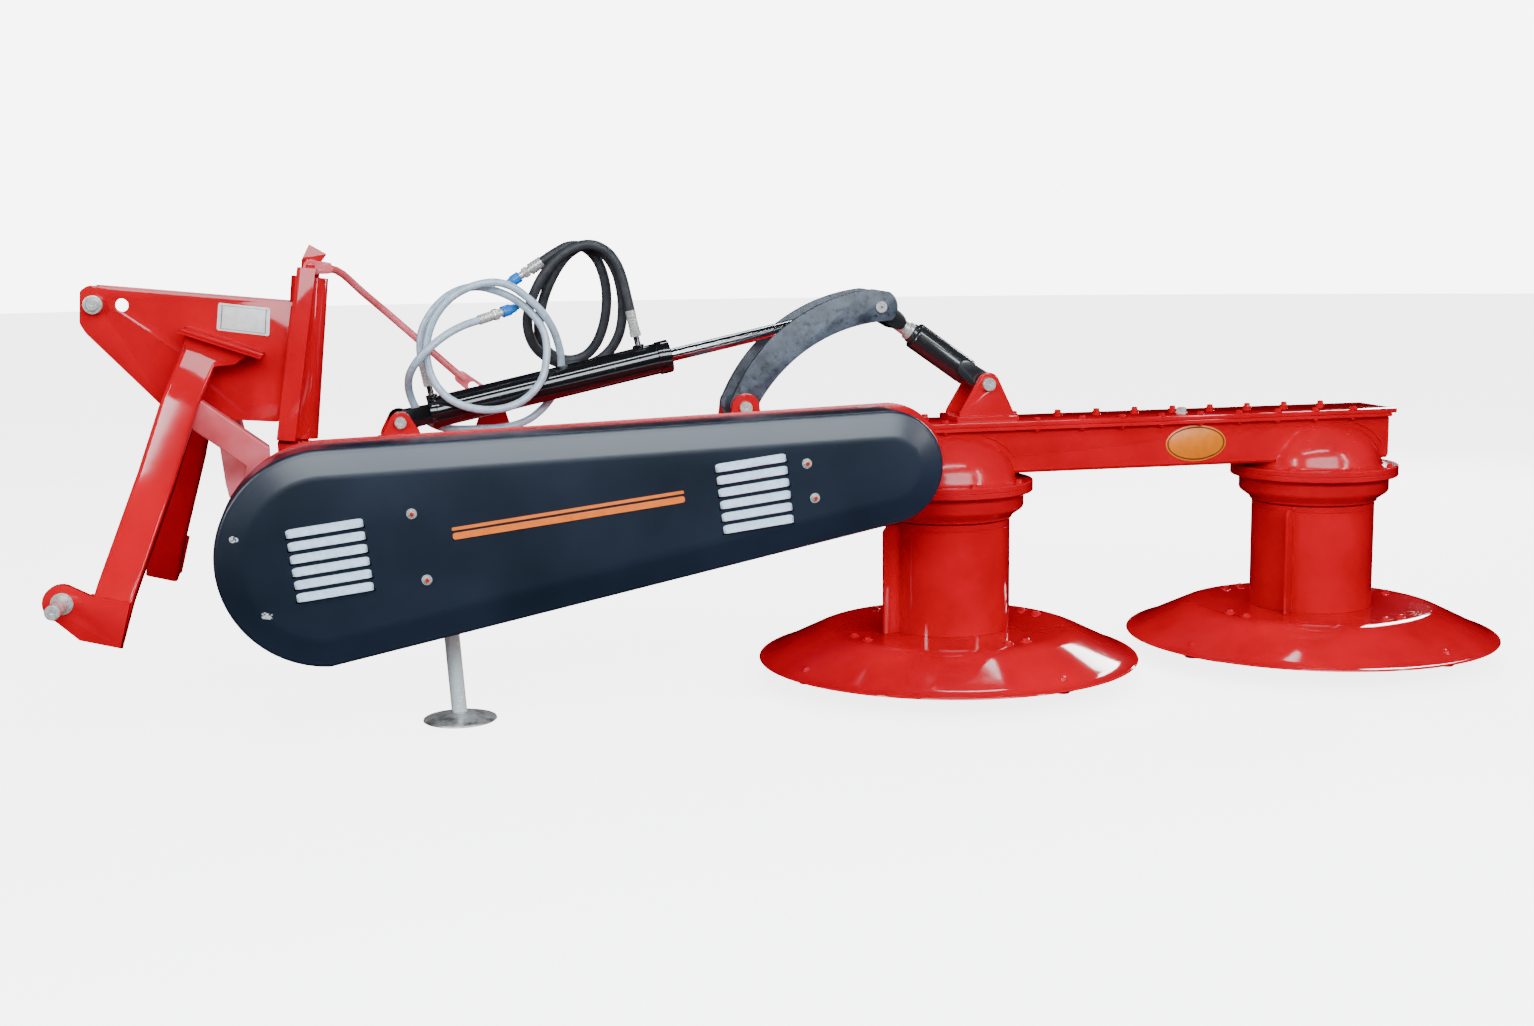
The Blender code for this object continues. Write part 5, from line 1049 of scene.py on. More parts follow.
def gear_housing(side, x):
    """Cast housing: neck, band, flange ring and domed cover, cut for the beam."""
    top, wall, base = HOUSING_DOME_TOP, HOUSING_WALL, HOUSING_BOTTOM
    band0, band1, ring0, ring1 = base + 0.024, base + 0.052, base + 0.060, base + 0.086
    rise = top - ring1
    band, flange, dome_r = HOUSING_BAND_R, HOUSING_FLANGE_R, HOUSING_DOME_R
    dome = oval(0, ring1, dome_r, rise, range(4, 89, 6))
    inner = oval(0, ring1, dome_r - wall, rise - wall, (88, 70, 50, 30, 10, 0))
    neck = smooth_path([(HOUSING_NECK_R, 0, base), (HOUSING_NECK_R + 0.004, 0, base + 0.007),
                        (band - 0.004, 0, band0 - 0.003), (band, 0, band0 + 0.004)], 4)
    profile = [(HOUSING_NECK_R - wall, base), *[(p.x, p.z) for p in neck], (band, band1 - 0.002),
               (band - 0.0015, band1), (band - 0.0015, ring0 - 0.002), (band, ring0),
               (flange - 0.002, ring0), (flange, ring0 + 0.002), (flange, ring0 + 0.0115),
               (flange - 0.0012, ring0 + 0.0125), (flange - 0.0012, ring0 + 0.0135),
               (flange, ring0 + 0.0145), (flange, ring1 - 0.002), (flange - 0.002, ring1),
               (dome_r + 0.008, ring1), (dome_r + 0.0025, ring1 + 0.0020), *dome, (0.001, top),
               (0.001, top - wall), *inner, (dome_r - wall, ring0)]
    slot = block((x - 0.25, -BEAM_HALF - GAP, BEAM_BOTTOM - GAP), (x + 0.25, BEAM_HALF + GAP, top + 0.02))
    bolt_circle = (dome_r + flange) / 2 + 0.004
    bolts = [hex_bolt((bx, by, ring1), (0, 0, 1), 0.013, 0.0075)
             for bx, by in around(x, 0, bolt_circle, (45, 90, 135, 225, 270, 315))]
    piece(side + "_gear_casting", "red_cast", "beam", [turned(profile, about(x, 0), 112)], [slot], bolts,
          ["gear_housing_" + side])


COVER_BOLTS = [0.300 + 0.098 * k for k in range(8)] + [-0.030, 0.190]
BOLT_ROW = 0.0765           # the lid's bolts, from the beam's middle
BEAM_TAIL_X = LIFT_X - BEAM_TAIL
SEAM_Z, SEAM_HIGH = 0.4665, 0.1138      # weld where a housing's dome meets the web


def beam():
    """Web box with lips and trunnions, and its bolted lid."""
    half, wall = BEAM_HALF, WEB_WALL
    right = [(half - 0.006, BEAM_BOTTOM), (half, BEAM_BOTTOM + 0.006), (half, LIP_BOTTOM - 0.002),
             (half + 0.002, LIP_BOTTOM), (LIP_HALF, LIP_BOTTOM), (LIP_HALF, LIP_TOP)]
    left = [(-y, z) for y, z in reversed(right)]
    section = [left[-1], *right, *left[:-1]]
    solids = [loft([[(x, y, z) for y, z in section] for x in (BEAM_TAIL_X, BEAM_END)])]
    cuts = [block((BEAM_TAIL_X + wall, -half + wall, BEAM_BOTTOM + wall),
                  (BEAM_END - wall, half - wall, LIP_TOP + 0.01))]
    extras = []
    for side in (-1, 1):
        a, b = to_side(side, half - 0.004, FORK_INNER + FORK_PLATE + 0.020)
        solids.append(cross_bar(LIFT_X, LIFT_Z, TRUNNION_R, a, b, 64))
        cuts.append(cross_bar(LIFT_X, LIFT_Z, TRUNNION_R - 0.015, a - 0.02, b + 0.01, 48))
        extras += [hex_bolt((x, side * BOLT_ROW, LIP_BOTTOM), (0, 0, -1), 0.011, 0.0055) for x in COVER_BOLTS]
        y = side * (half - 0.001)
        extras.append(weld([(BEAM_END - 0.0005, y, BEAM_BOTTOM + 0.006),
                            (BEAM_END - 0.0005, y, LIP_BOTTOM - 0.002)], 0.0026))
        for _, x in DRUMS:
            seam = [(wx, side * (half + 0.0006), wz)
                    for wx, wz in oval(x, SEAM_Z, HOUSING_DOME_R - 0.001, SEAM_HIGH, (26, 40, 54, 68))]
            extras.append(weld([spot for spot in seam if spot[2] < LIP_BOTTOM - 0.006], 0.0022))
    for _, x in DRUMS:
        solids.append(bar((x, 0, HOUSING_BOTTOM), (x, 0, BEAM_BOTTOM + 0.002), BEARING_R, 48))
        cuts.append(bar((x, 0, HOUSING_BOTTOM - 0.01), (x, 0, BEAM_BOTTOM + 0.02), SHAFT_R + RUN, 40))
    piece("beam_web_welded", "red_paint", "beam", solids, cuts, extras, ["beam_trough"], ease=0.0010)

    lid = block((BEAM_TAIL_X, -LIP_HALF, LIP_TOP + GAP), (BEAM_END + COVER_OVERHANG, LIP_HALF, COVER_TOP))
    bolts = [hex_bolt((x, side * BOLT_ROW, COVER_TOP), (0, 0, 1), 0.014, 0.0085)
             for side in (-1, 1) for x in COVER_BOLTS]
    piece("beam_lid", "red_paint", "beam", [eased(lid, 0.0015)], extras=bolts, replaces=["beam_cover"])
    spot = Matrix.Translation((DRUM_SPACING * PLUG_SHARE, -0.010, COVER_TOP))
    plug = [turned([(0, 0), (0.0145, 0), (0.0145, 0.0012), (0.0128, 0.0020), (0, 0.0020)], spot, 32),
            turned([(0, 0.0018), (0.0116, 0.0018), (0.0122, 0.0026), (0.0122, 0.0108), (0.0108, 0.0124),
                    (0, 0.0124)], spot, 6)]
    piece("beam_filler_plug", "zinc", "beam", [together(plug)])


def lug_outline(eye, radius, foot, base, corner=0.010):
    """An upright lug about an eye, its flanks running tangent down to the foot."""
    return soften([(foot[1], base), (foot[1], base + 0.010), *arc(*eye, radius, 20, 160, 22),
                   (foot[0], base + 0.010), (foot[0], base)], corner, 3)


def lug_pair(name, body, pin, pin_radius, pad, outline, inner, welds, reach, facets=44):
    """Two lugs on their pad, inner from the middle, and the pin that reaches out of both."""
    lugs = [plate(outline, y, y + EAR) for y in (inner, -inner - EAR)]
    piece(name + "_lugs_welded", "red_paint", body, [pad, *lugs],
          [cross_bar(*pin, pin_radius + GAP, -0.09, 0.09, facets)], welds, [name + "_ears"], ease=0.0012)
    piece(name + "_pin_turned", "zinc", body, [turned_pin(*pin, -reach, reach, pin_radius)],
          replaces=[name + "_pin"])


def beads(x0, x1, z, radius, places):
    """Straight weld beads along X, one at each y."""
    return [weld([(x0, y, z), (x1, y, z)], radius) for y in places]


def link_lugs():
    """Welded lugs on the beam for the link, and their pin."""
    base = COVER_TOP + GAP
    pad = block((0.002, -0.065, base), (0.150, 0.065, base + 0.012))
    outline = lug_outline(PIN_D, 0.027, (0.012, 0.142), base + 0.010)
    welds = beads(0.014, 0.140, base + 0.0125, 0.0030, (0.0396, 0.0404 + EAR, -0.0396, -0.0404 - EAR))
    welds += beads(0.003, 0.149, base + 0.0015, 0.0028, (-0.0655, 0.0655))
    lug_pair("link", "beam", PIN_D, PIN_D_R, pad, outline, 0.040, welds, 0.060, 48)


OVAL_X, OVAL_Z = 0.586, 0.5330
OVAL_WIDE, OVAL_HIGH = 0.076, 0.0425


def oval_plate():
    """A bare orange oval with a dark rim line on the beam's front."""
    def ring(inset, y):
        rim = oval(OVAL_X, OVAL_Z, OVAL_WIDE - inset, OVAL_HIGH - inset, range(0, 360, 5))
        return [(x, y, z) for x, z in rim]

    front = -BEAM_HALF - 0.0010
    sheet = [ring(0, -BEAM_HALF + 0.0002), ring(0, front + 0.0003), ring(0.0004, front)]
    piece("beam_oval", "oval_gold", "beam", [loft(sheet)], smooth=40)
    line = [ring(inset, front + y) for inset, y in ((0.0038, 0.0002), (0.0038, -0.0006), (0.0066, -0.0006),
                                                    (0.0066, 0.0002))]
    piece("beam_oval_line", "oval_line", "beam", [loft(line, closed=True)])


# Belt guard and drive

SHEET_DRAWN_IN = 0.062      # share by which the back sheet's big end is drawn in
BELT_TILT = math.atan2(LIFT_Z - INPUT_Z, LIFT_X - INPUT_X)
FIXINGS = ((-1.231, 0.487), (-1.206, 0.352), (-0.420, 0.5555), (-0.4035, 0.4825))
STAYS = (-1.060, -0.560)    # bars that carry the back sheet
STAY_R = 0.015
SHAFT_HOLE_R = 0.034        # in the back sheet
STRIPES_AT = (-0.916, 0.4690)
STRIPE_HALF = 0.238         # half a stripe's length


def guard_outline(inset, shift=0.0):
    """The guard's pear-shaped outline, drawn in by inset."""
    big, small = GUARD_BIG_R - inset, GUARD_SMALL_R - inset
    x = LIFT_X + shift
    reach = math.hypot(x - INPUT_X, LIFT_Z - INPUT_Z)
    base = math.atan2(LIFT_Z - INPUT_Z, x - INPUT_X)
    top = 90 + (base - math.asin((big - small) / reach)) / DEG
    low = -90 + (base + math.asin((big - GUARD_CORNER - small) / reach)) / DEG
    corner = low - math.degrees(math.acos((big - GUARD_CORNER) / big))
    return arc(INPUT_X, INPUT_Z, big, corner + 360, top, 73) + arc(x, LIFT_Z, small, top, low, 49)


def on_panel(middle, u, v, y):
    """A point of the guard's front: u along the belt line, v across it."""
    cos, sin = math.cos(BELT_TILT), math.sin(BELT_TILT)
    return (middle[0] + cos * u - sin * v, GUARD_FRONT + y, middle[1] + sin * u + cos * v)


def louvre(middle, off, dent):
    """One pressed hood, open along its lower lip; dent pushes the lip in near its middle."""
    high, half = LOUVRE_HEIGHT / 2, LOUVRE_LENGTH / 2
    loops = []
    for i in range(LOUVRE_STEPS + 1):
        u = -half + LOUVRE_LENGTH * i / LOUVRE_STEPS
        end = min(1.0, (half - abs(u)) / LOUVRE_ROUND)
        swell = math.sqrt(max(0.02, 1 - (1 - end) ** 2))
        push = 1 - dent * math.exp(-((u - 0.022) / 0.016) ** 2)
        rise = LOUVRE_RISE * swell * push
        outer = [(high * (0.55 + 0.45 * swell), 0.0010), (high * (0.50 + 0.42 * swell), -0.0012 * swell),
                 (high * 0.30, -rise * 0.42), (-high * 0.35, -rise * 0.80), (-high * 0.85, -rise * 0.985),
                 (-high * 0.97, -rise), (-high, -rise * 0.97)]
        inner = [(v + 0.0002, min(0.0010, y + 0.0013)) for v, y in reversed(outer)]
        loops.append([on_panel(middle, u, v + off, y) for v, y in outer + inner])
    return loft(loops)


def guard_back_sheet():
    """Red back sheet on two stays, with the nuts of the cover's fixings."""
    back = GUARD_BACK + GAP
    front = back + GUARD_PLATE
    sheet = [(x + max(0, INPUT_X - x) * SHEET_DRAWN_IN, z)
             for x, z in guard_outline(-PLATE_MARGIN / 2, PLATE_SHIFT)]
    solids = [plate(sheet, back, front)]
    solids += [cross_bar(x, (ARM_BOTTOM + ARM_TOP) / 2, STAY_R, back + 0.003, -ARM_HALF - GAP) for x in STAYS]
    cuts = [cross_bar(x, z, SHAFT_HOLE_R, back - 0.02, back + 0.03)
            for x, z in ((INPUT_X, INPUT_Z), (LIFT_X, LIFT_Z))]
    nuts = [hex_bolt((x, front, z), (0, 1, 0), 0.013, 0.009, 0.008) for x, z in FIXINGS]
    piece("guard_back_sheet", "red_paint", "arm", solids, cuts, nuts, ["guard_back_plate"], ease=0.0008)


def guard_shell():
    """The pressed cover: rounded edge, sloping band and flat panel, outside and then inside."""
    shoulder = GUARD_FRONT + GUARD_SLOPE
    side = shoulder + GUARD_EDGE
    fall = GUARD_SLOPE / (GUARD_BAND - GUARD_EDGE)
    levels = [(0.0, GUARD_BACK), (0.0, side)]
    levels += [(GUARD_EDGE * (1 - math.cos(a * DEG)), side - GUARD_EDGE * math.sin(a * DEG))
               for a in (18, 36, 54, 72, 88)]
    levels += [(GUARD_EDGE + d, shoulder - fall * d) for d in (0.004, 0.012)]
    levels += [(GUARD_BAND - 0.007, GUARD_FRONT + fall * 0.007), (GUARD_BAND, GUARD_FRONT + fall * 0.0016),
               (GUARD_BAND + 0.007, GUARD_FRONT)]
    loops = [[(x, y, z) for x, z in guard_outline(inset)] for inset, y in reversed(levels)]
    for inset, y in levels:
        deep = y if y == GUARD_BACK else y + GUARD_SKIN
        loops.append([(x, deep, z) for x, z in guard_outline(inset + GUARD_SKIN)])
    return loft(loops)


def guard_cover():
    """The black cover, its slots and the hoods over them."""
    slots, hoods = [], []
    half = LOUVRE_LENGTH / 2 - 0.001
    for middle, dents in ((LOUVRE_LEFT, (0,) * LOUVRES), (LOUVRE_RIGHT, (0, 0, 0, 0, 0.30, 0.42))):
        for k in range(LOUVRES):
            off = (k - (LOUVRES - 1) / 2) * LOUVRE_PITCH
            hoods.append(louvre(middle, off, dents[k]))
            low = off - LOUVRE_HEIGHT / 2
            ends = [(u - half, v) for u, v in arc(0, 0, SLOT_HALF, 60, 300, 9)]
            ends += [(u + half, v) for u, v in arc(0, 0, SLOT_HALF, 240, 480, 9)]
            cut = [on_panel(middle, u, low + v, -0.02) for u, v in ends]
            slots.append(loft([cut, [(x, y + 0.04, z) for x, y, z in cut]]))
    piece("guard_cover_pressed", "black_paint", "arm", [guard_shell()], slots, replaces=["guard_cover"],
          smooth=24)
    # The hoods' pale blue-grey finish is a painted sky reflection on what is black-painted sheet
    piece("louvre_hoods_pressed", "louvre_painted_reflection", "arm", [together(hoods)], smooth=24)


def guard_trim():
    """Washers, nuts and stud ends on the cover, and its two orange stripes."""
    fixings, studs = [], []
    for x, z in FIXINGS:
        place = axis_to((x, GUARD_FRONT - 0.0002, z), (x, GUARD_FRONT - 1, z))
        fixings += [turned([(0, 0), (0.0102, 0), (0.0106, 0.0005), (0.0102, 0.0014), (0, 0.0014)], place, 28),
                    turned([(0, 0.0012), (0.0066, 0.0012), (0.0070, 0.0018), (0.0070, 0.0052),
                            (0.0058, 0.0062), (0, 0.0062)], place, 6)]
        studs.append(turned([(0, 0.006), (0.0040, 0.006), (0.0040, 0.0094), (0.0032, 0.0100), (0, 0.0100)],
                            place, 16))
    piece("guard_fixings", "zinc", "arm", [together(fixings)])
    piece("guard_stud_ends", "red_weld", "arm", [together(studs)])
    stripes = []
    for v, tall in ((0.0105, 0.0065), (-0.0045, 0.0135)):
        outline = soften(rectangle(-STRIPE_HALF, v - tall / 2, STRIPE_HALF, v + tall / 2), tall * 0.49, 5)
        stripes.append(loft([[on_panel(STRIPES_AT, u * long, (w - v) * high + v, y) for u, w in outline]
                             for long, high, y in ((1.0, 1.0, 0.0005), (1.0, 1.0, -0.0020),
                                                   (0.999, 0.90, -0.0026))]))
    piece("guard_stripes", "orange", "arm", [together(stripes)], smooth=40)


def drive():
    """Input housing with its bolts, and the splined input shaft."""
    front = GUARD_BACK + GAP + GUARD_PLATE + GAP
    r, end = INPUT_HOUSING_R, INPUT_HOUSING_END
    tube = cross_bar(INPUT_X, INPUT_Z, r, front, end, 64)
    stay = block((INPUT_X - 0.002, -r, INPUT_Z + 0.030), (INPUT_X + 0.110, r, ARM_BOTTOM - GAP))
    bolts = [hex_bolt((x, end, z), (0, 1, 0), 0.010, 0.006)
             for x, z in around(INPUT_X, INPUT_Z, 0.036, range(30, 390, 60))]
    bolts += beads(INPUT_X + 0.012, INPUT_X + 0.104, INPUT_Z + 0.052, 0.0028, (r + 0.0005,))
    bore = cross_bar(INPUT_X, INPUT_Z, DRIVE_R + 2 * RUN, front - 0.01, end + 0.01, 48)
    piece("input_housing_turned", "red_cast", "arm", [tube, stay], [bore], bolts, ["input_housing"],
          ease=0.0014)
    start = PULLEY_BACK - GROOVES * GROOVE_PITCH - 0.004 - 0.012     # past the pulley and its boss
    shaft = cross_bar(INPUT_X, INPUT_Z, DRIVE_R, start, 0.162, 48, 0.001)
    teeth = []
    for k in range(SPLINES):
        for share, r in ((-0.42, 0.82), (-0.30, 1.0), (0.0, 1.0), (0.30, 1.0), (0.42, 0.82)):
            teeth += around(INPUT_X, INPUT_Z, DRIVE_R * r, [(k + share) * 360 / SPLINES])
    piece("input_shaft_splined", "steel", "input_drive", [together([shaft, plate(teeth, 0.158, 0.205)])],
          replaces=["input_shaft"], ease=0.0005)


# Main arm and stand

def stand_bar(z0, z1, radius, facets=40, ease=0.0):
    lean = math.tan(STAND_LEAN * DEG)
    return bar((STAND_X - z0 * lean, STAND_Y, z0), (STAND_X - z1 * lean, STAND_Y, z1), radius, facets, ease)


def main_arm():
    """Box arm with cheeks, fork plates, tie-rod ear and the stand's sleeve, and its tilt pin."""
    section = soften(rectangle(-ARM_HALF, ARM_BOTTOM, ARM_HALF, ARM_TOP), 0.008, 4)
    solids = [loft([[(x, y, z) for y, z in section] for x in (ARM_START, ARM_END)])]
    cuts = [block((ARM_START - 0.01, -ARM_HALF + ARM_WALL, ARM_BOTTOM + ARM_WALL),
                  (ARM_END - 0.012, ARM_HALF - ARM_WALL, ARM_TOP - ARM_WALL))]
    cheek = arc(TILT_X, TILT_Z, CHEEK_R, 90, 270, 30)
    cheek += [(ARM_START + 0.05, ARM_BOTTOM + 0.004), (ARM_START + 0.09, ARM_BOTTOM + 0.040),
              (ARM_START + 0.09, ARM_TOP - 0.040), (ARM_START + 0.05, ARM_TOP - 0.004)]
    fork = [(FORK_START, LIFT_Z - 0.052), (FORK_START, LIFT_Z + 0.052), (FORK_NECK, LIFT_Z + FORK_R * 0.98),
            *arc(LIFT_X, LIFT_Z, FORK_R, 90, -90, 36), (FORK_NECK, LIFT_Z - FORK_R * 0.98)]
    left, right = TIE_EAR
    tie = [(left, ARM_TOP - 0.035), (left, ARM_TOP + 0.012), *arc(*TIE_EYE, 0.019, 170, 10, 16),
           (right, ARM_TOP + 0.012), (right, ARM_TOP - 0.035)]
    extras = []
    for side in (-1, 1):
        solids.append(plate(cheek, *to_side(side, ARM_HALF - 0.001, ARM_HALF + CHEEK)))
        solids.append(plate(fork, *to_side(side, FORK_INNER, FORK_INNER + FORK_PLATE)))
        low, high = to_side(side, ARM_HALF - 0.004, FORK_INNER + 0.002)
        solids.append(block((FORK_BOX_START, low, ARM_BOTTOM + 0.006),
                            (ARM_END - 0.001, high, ARM_TOP - 0.004)))
        y = side * (ARM_HALF + 0.001)
        for x, low, high, bead in ((ARM_START + 0.0905, 0.042, 0.042, 0.0028),
                                   (FORK_BOX_START - 0.0005, 0.010, 0.008, 0.0030)):
            extras.append(weld([(x, y, ARM_BOTTOM + low), (x, y, ARM_TOP - high)], bead))
        extras += beads(-0.498, ARM_END - 0.004, ARM_TOP - 0.0035, 0.0028, (side * (FORK_INNER - 0.0004),))
    solids.append(plate(tie, ARM_HALF - 0.002, ARM_HALF + 0.008))
    solids.append(cross_bar(*TIE_EYE, 0.008, ARM_HALF + 0.004, ARM_HALF + 0.022, 28))
    solids.append(cross_bar(*TIE_EYE, 0.013, ARM_HALF + 0.0205, ARM_HALF + 0.026, 28))
    solids.append(stand_bar(0.450, ARM_TOP, SLEEVE_R))
    (x0, z0), (x1, z1) = SLEEVE_STAY
    solids.append(block((x0, STAND_Y + 0.012, z0), (x1, -ARM_HALF + 0.002, z1)))
    cuts.append(cross_bar(TILT_X, TILT_Z, TILT_PIN_R + RUN, -0.1, 0.1, 44))
    cuts.append(cross_bar(LIFT_X, LIFT_Z, TRUNNION_R + 0.0006, -0.13, 0.13, 64))
    cuts.append(stand_bar(0.440, ARM_TOP + 0.01, STAND_R + 2 * RUN))
    extras += beads(-1.074, -0.990, ARM_TOP - 0.034, 0.0026, (ARM_HALF + 0.0004,))
    piece("main_arm_welded", "red_paint", "arm", solids, cuts, extras, ["main_arm"], ease=0.0012)
    reach = ARM_HALF + CHEEK + 0.006
    piece("tilt_pin_turned", "zinc", "arm", [turned_pin(TILT_X, TILT_Z, -reach, reach, TILT_PIN_R)],
          replaces=["tilt_pin"])


def arm_lugs():
    """Welded lugs on the arm for the cylinder's base and for the rocker, with their pins."""
    base = ARM_TOP + GAP
    x = PIN_A[0]
    pad = block((x - 0.046, -0.050, base), (x + 0.052, 0.050, base + 0.007))
    outline = lug_outline(PIN_A, 0.024, (x - 0.040, x + 0.0434), base + 0.005, 0.006)
    welds = beads(x - 0.040, x + 0.044, base + 0.0074, 0.0026, (0.0396, -0.0396))
    welds.append(weld([(x + 0.0524, -0.048, base + 0.0012), (x + 0.0524, 0.048, base + 0.0012)], 0.0028))
    lug_pair("cylinder", "arm", PIN_A, PIN_A_R, pad, outline, 0.040, welds, 0.058)
    x = PIN_B[0]
    pad = block((x - 0.036, -0.0705, base), (x + 0.036, 0.0705, base + 0.010))
    outline = lug_outline(PIN_B, 0.032, (x - 0.036, x + 0.036), base + 0.006, 0.006)
    welds = beads(x - 0.034, x + 0.034, base + 0.0104, 0.0026, (0.0588, -0.0588))
    lug_pair("rocker", "arm", PIN_B, PIN_B_R, pad, outline, 0.0592, welds, 0.078)


def stand():
    """Bright steel tube leg, its bluish-white colour partly a painted sky reflection, on a blotched pressed
    foot.
    """
    piece("stand_tube", "leg_steel_painted_reflection", "stand", [stand_bar(0.006, STAND_TOP, STAND_R, 48, 0.001)],
          replaces=["stand_leg"])
    dish = [(0, 0), (FOOT_R - 0.002, 0), (FOOT_R, 0.0015), (FOOT_R - 0.001, 0.0042), (FOOT_R * 0.90, 0.0052),
            (FOOT_R * 0.72, FOOT_H * 0.48), (FOOT_R * 0.55, FOOT_H * 0.70), (STAND_R + 0.012, FOOT_H * 0.92),
            (STAND_R + 0.006, FOOT_H), (STAND_R + 0.001, FOOT_H), (0, FOOT_H)]
    foot = turned(dish, Matrix.Translation((STAND_X, STAND_Y, 0)), 64)
    middle = STAND_X - FOOT_H * math.tan(STAND_LEAN * DEG)
    ring = [(x, y, FOOT_H + 0.001) for x, y in around(middle, STAND_Y, STAND_R + 0.001, range(0, 361, 15))]
    piece("stand_foot", "foot_steel", "stand", [foot], extras=[weld(ring, 0.0032)], replaces=["stand_leg"])


# Lift linkage

def rocker():
    """Two curved plates on a hub, with a stub pin at the top of each."""
    outline = [*arc_through(*ROCKER_OUTER, 34), *arc(*PIN_C, 0.039, 60, -50, 20),
               *arc_through(*ROCKER_INNER, 28), *arc(*PIN_B, 0.032, 0, -165, 24)]
    inside, outside = ROCKER_GAP, ROCKER_GAP + ROCKER_PLATE
    solids = []
    for side in (-1, 1):
        stub = to_side(side, LINK_CHEEK[1] + RUN, outside + 0.006)
        solids.append(plate(outline, *to_side(side, inside, outside)))
        solids.append(cross_bar(*PIN_C, PIN_A_R, *stub, 36, 0.0012))
    solids.append(cross_bar(*PIN_B, 0.024, -inside - 0.002, inside + 0.002, 40))
    piece("rocker_plates", "rocker_paint", "rocker", solids,
          [cross_bar(*PIN_B, PIN_B_R + RUN, -0.09, 0.09, 44)], replaces=["rocker"], ease=0.0012)
    caps = [turned_pin(*PIN_C, *to_side(side, outside + 0.0062, outside + 0.0022), PIN_A_R + 0.0004, 0.0010)
            for side in (-1, 1)]
    piece("rocker_pivot_ends", "zinc", "rocker", [together(caps)])


def link():
    """Short fork, ringed barrel, zinc neck and eye of the link to the beam."""
    length = math.dist(PIN_C, PIN_D)
    start, end = along(PIN_C, PIN_D, LINK_BARREL[0]), along(PIN_C, PIN_D, LINK_BARREL[1])
    place = axis_to(flat(start), flat(end))
    span, r = LINK_BARREL[1] - LINK_BARREL[0], LINK_BARREL_R
    tube = turned([(0, 0), (r - 0.010, 0), (r - 0.008, 0.002), (r - 0.008, 0.009), (r - 0.0035, 0.0115),
                   (r - 0.001, 0.0125), (r, 0.014), (r, span - 0.012), (r - 0.0012, span - 0.010),
                   (r - 0.0012, span - 0.0085), (r - 0.0002, span - 0.0075), (r - 0.0002, span - 0.002),
                   (r - 0.002, span), (0, span)], place, 64)
    cheek = rounded_bar(PIN_C, along(PIN_C, PIN_D, 0.054), 0.024, 0.019)
    bridge = rounded_bar(along(PIN_C, PIN_D, 0.055), along(PIN_C, PIN_D, 0.061), 0.0175, 0.0165)
    eye = rounded_bar(along(PIN_C, PIN_D, length - 0.060), PIN_D, 0.020, 0.024)
    solids = [plate(cheek, *to_side(side, *LINK_CHEEK)) for side in (-1, 1)]
    solids += [plate(bridge, -0.0335, 0.0335), tube, plate(eye, -0.036, 0.036)]
    cuts = [cross_bar(*PIN_C, PIN_A_R + 2 * RUN, -0.06, 0.06, 44),
            cross_bar(*PIN_D, PIN_D_R + RUN, -0.06, 0.06, 44)]
    piece("link_barrel_turned", "link_satin", "link", solids, cuts, replaces=["lift_link"], ease=0.0012)
    neck = turned([(0, -0.044), (0.0160, -0.044), (0.0160, -0.010), (0.0205, -0.008), (0.0205, 0.0005),
                   (0.0185, 0.002), (0, 0.002)], place, 48)
    piece("link_neck", "zinc", "link", [neck])


def cylinder():
    """Barrel with its end caps, base eye and port bosses, and the chromed rod."""
    span, r = BARREL_END - BARREL_START, BARREL_R
    bore = ROD_R + 2 * RUN
    profile = [(0, 0), (r - 0.001, 0), (r + 0.0012, 0.0012), (r + 0.0012, 0.0145), (r, 0.0160),
               (r, span - 0.0290), (r + 0.0025, span - 0.0275), (r + 0.0025, span - 0.0015),
               (r + 0.001, span), (bore, span), (bore, span - 0.020), (r - 0.005, span - 0.020),
               (r - 0.005, 0.014), (0, 0.014)]
    place = axis_to(cylinder_spot(BARREL_START), cylinder_spot(BARREL_END))
    base = rounded_bar(PIN_A, along(PIN_A, PIN_C, BARREL_START + 0.004), 0.0225, 0.019)
    solids = [turned(profile, place, 64), plate(base, -0.018, 0.018),
              cross_bar(*PIN_A, 0.024, -0.0385, 0.0385, 44)]
    for where in PORTS:
        for sunk, high, radius, facets, ease in ((0.004, 0.024, 0.0065, 28, 0.0006),
                                                 (0.003, 0.005, 0.013, 32, 0.0012)):
            solids.append(bar(cylinder_spot(where, BARREL_R - sunk), cylinder_spot(where, BARREL_R + high),
                              radius, facets, ease))
    bore = cross_bar(*PIN_A, PIN_A_R + RUN, -0.06, 0.06, 44)
    piece("barrel_enamelled", "dark_enamel", "barrel", solids, [bore], replaces=["cylinder_barrel"],
          ease=0.0008)
    rod = [bar(cylinder_spot(0.520), cylinder_spot(math.dist(PIN_A, PIN_C) - 0.020), ROD_R, 48),
           bar(cylinder_spot(0.515), cylinder_spot(0.540), BARREL_R - 0.0062, 48),
           cross_bar(*PIN_C, 0.0185, -0.018, 0.018, 48)]
    piece("rod_chromed", "chrome", "piston", rod, replaces=["piston_rod"], ease=0.0006)


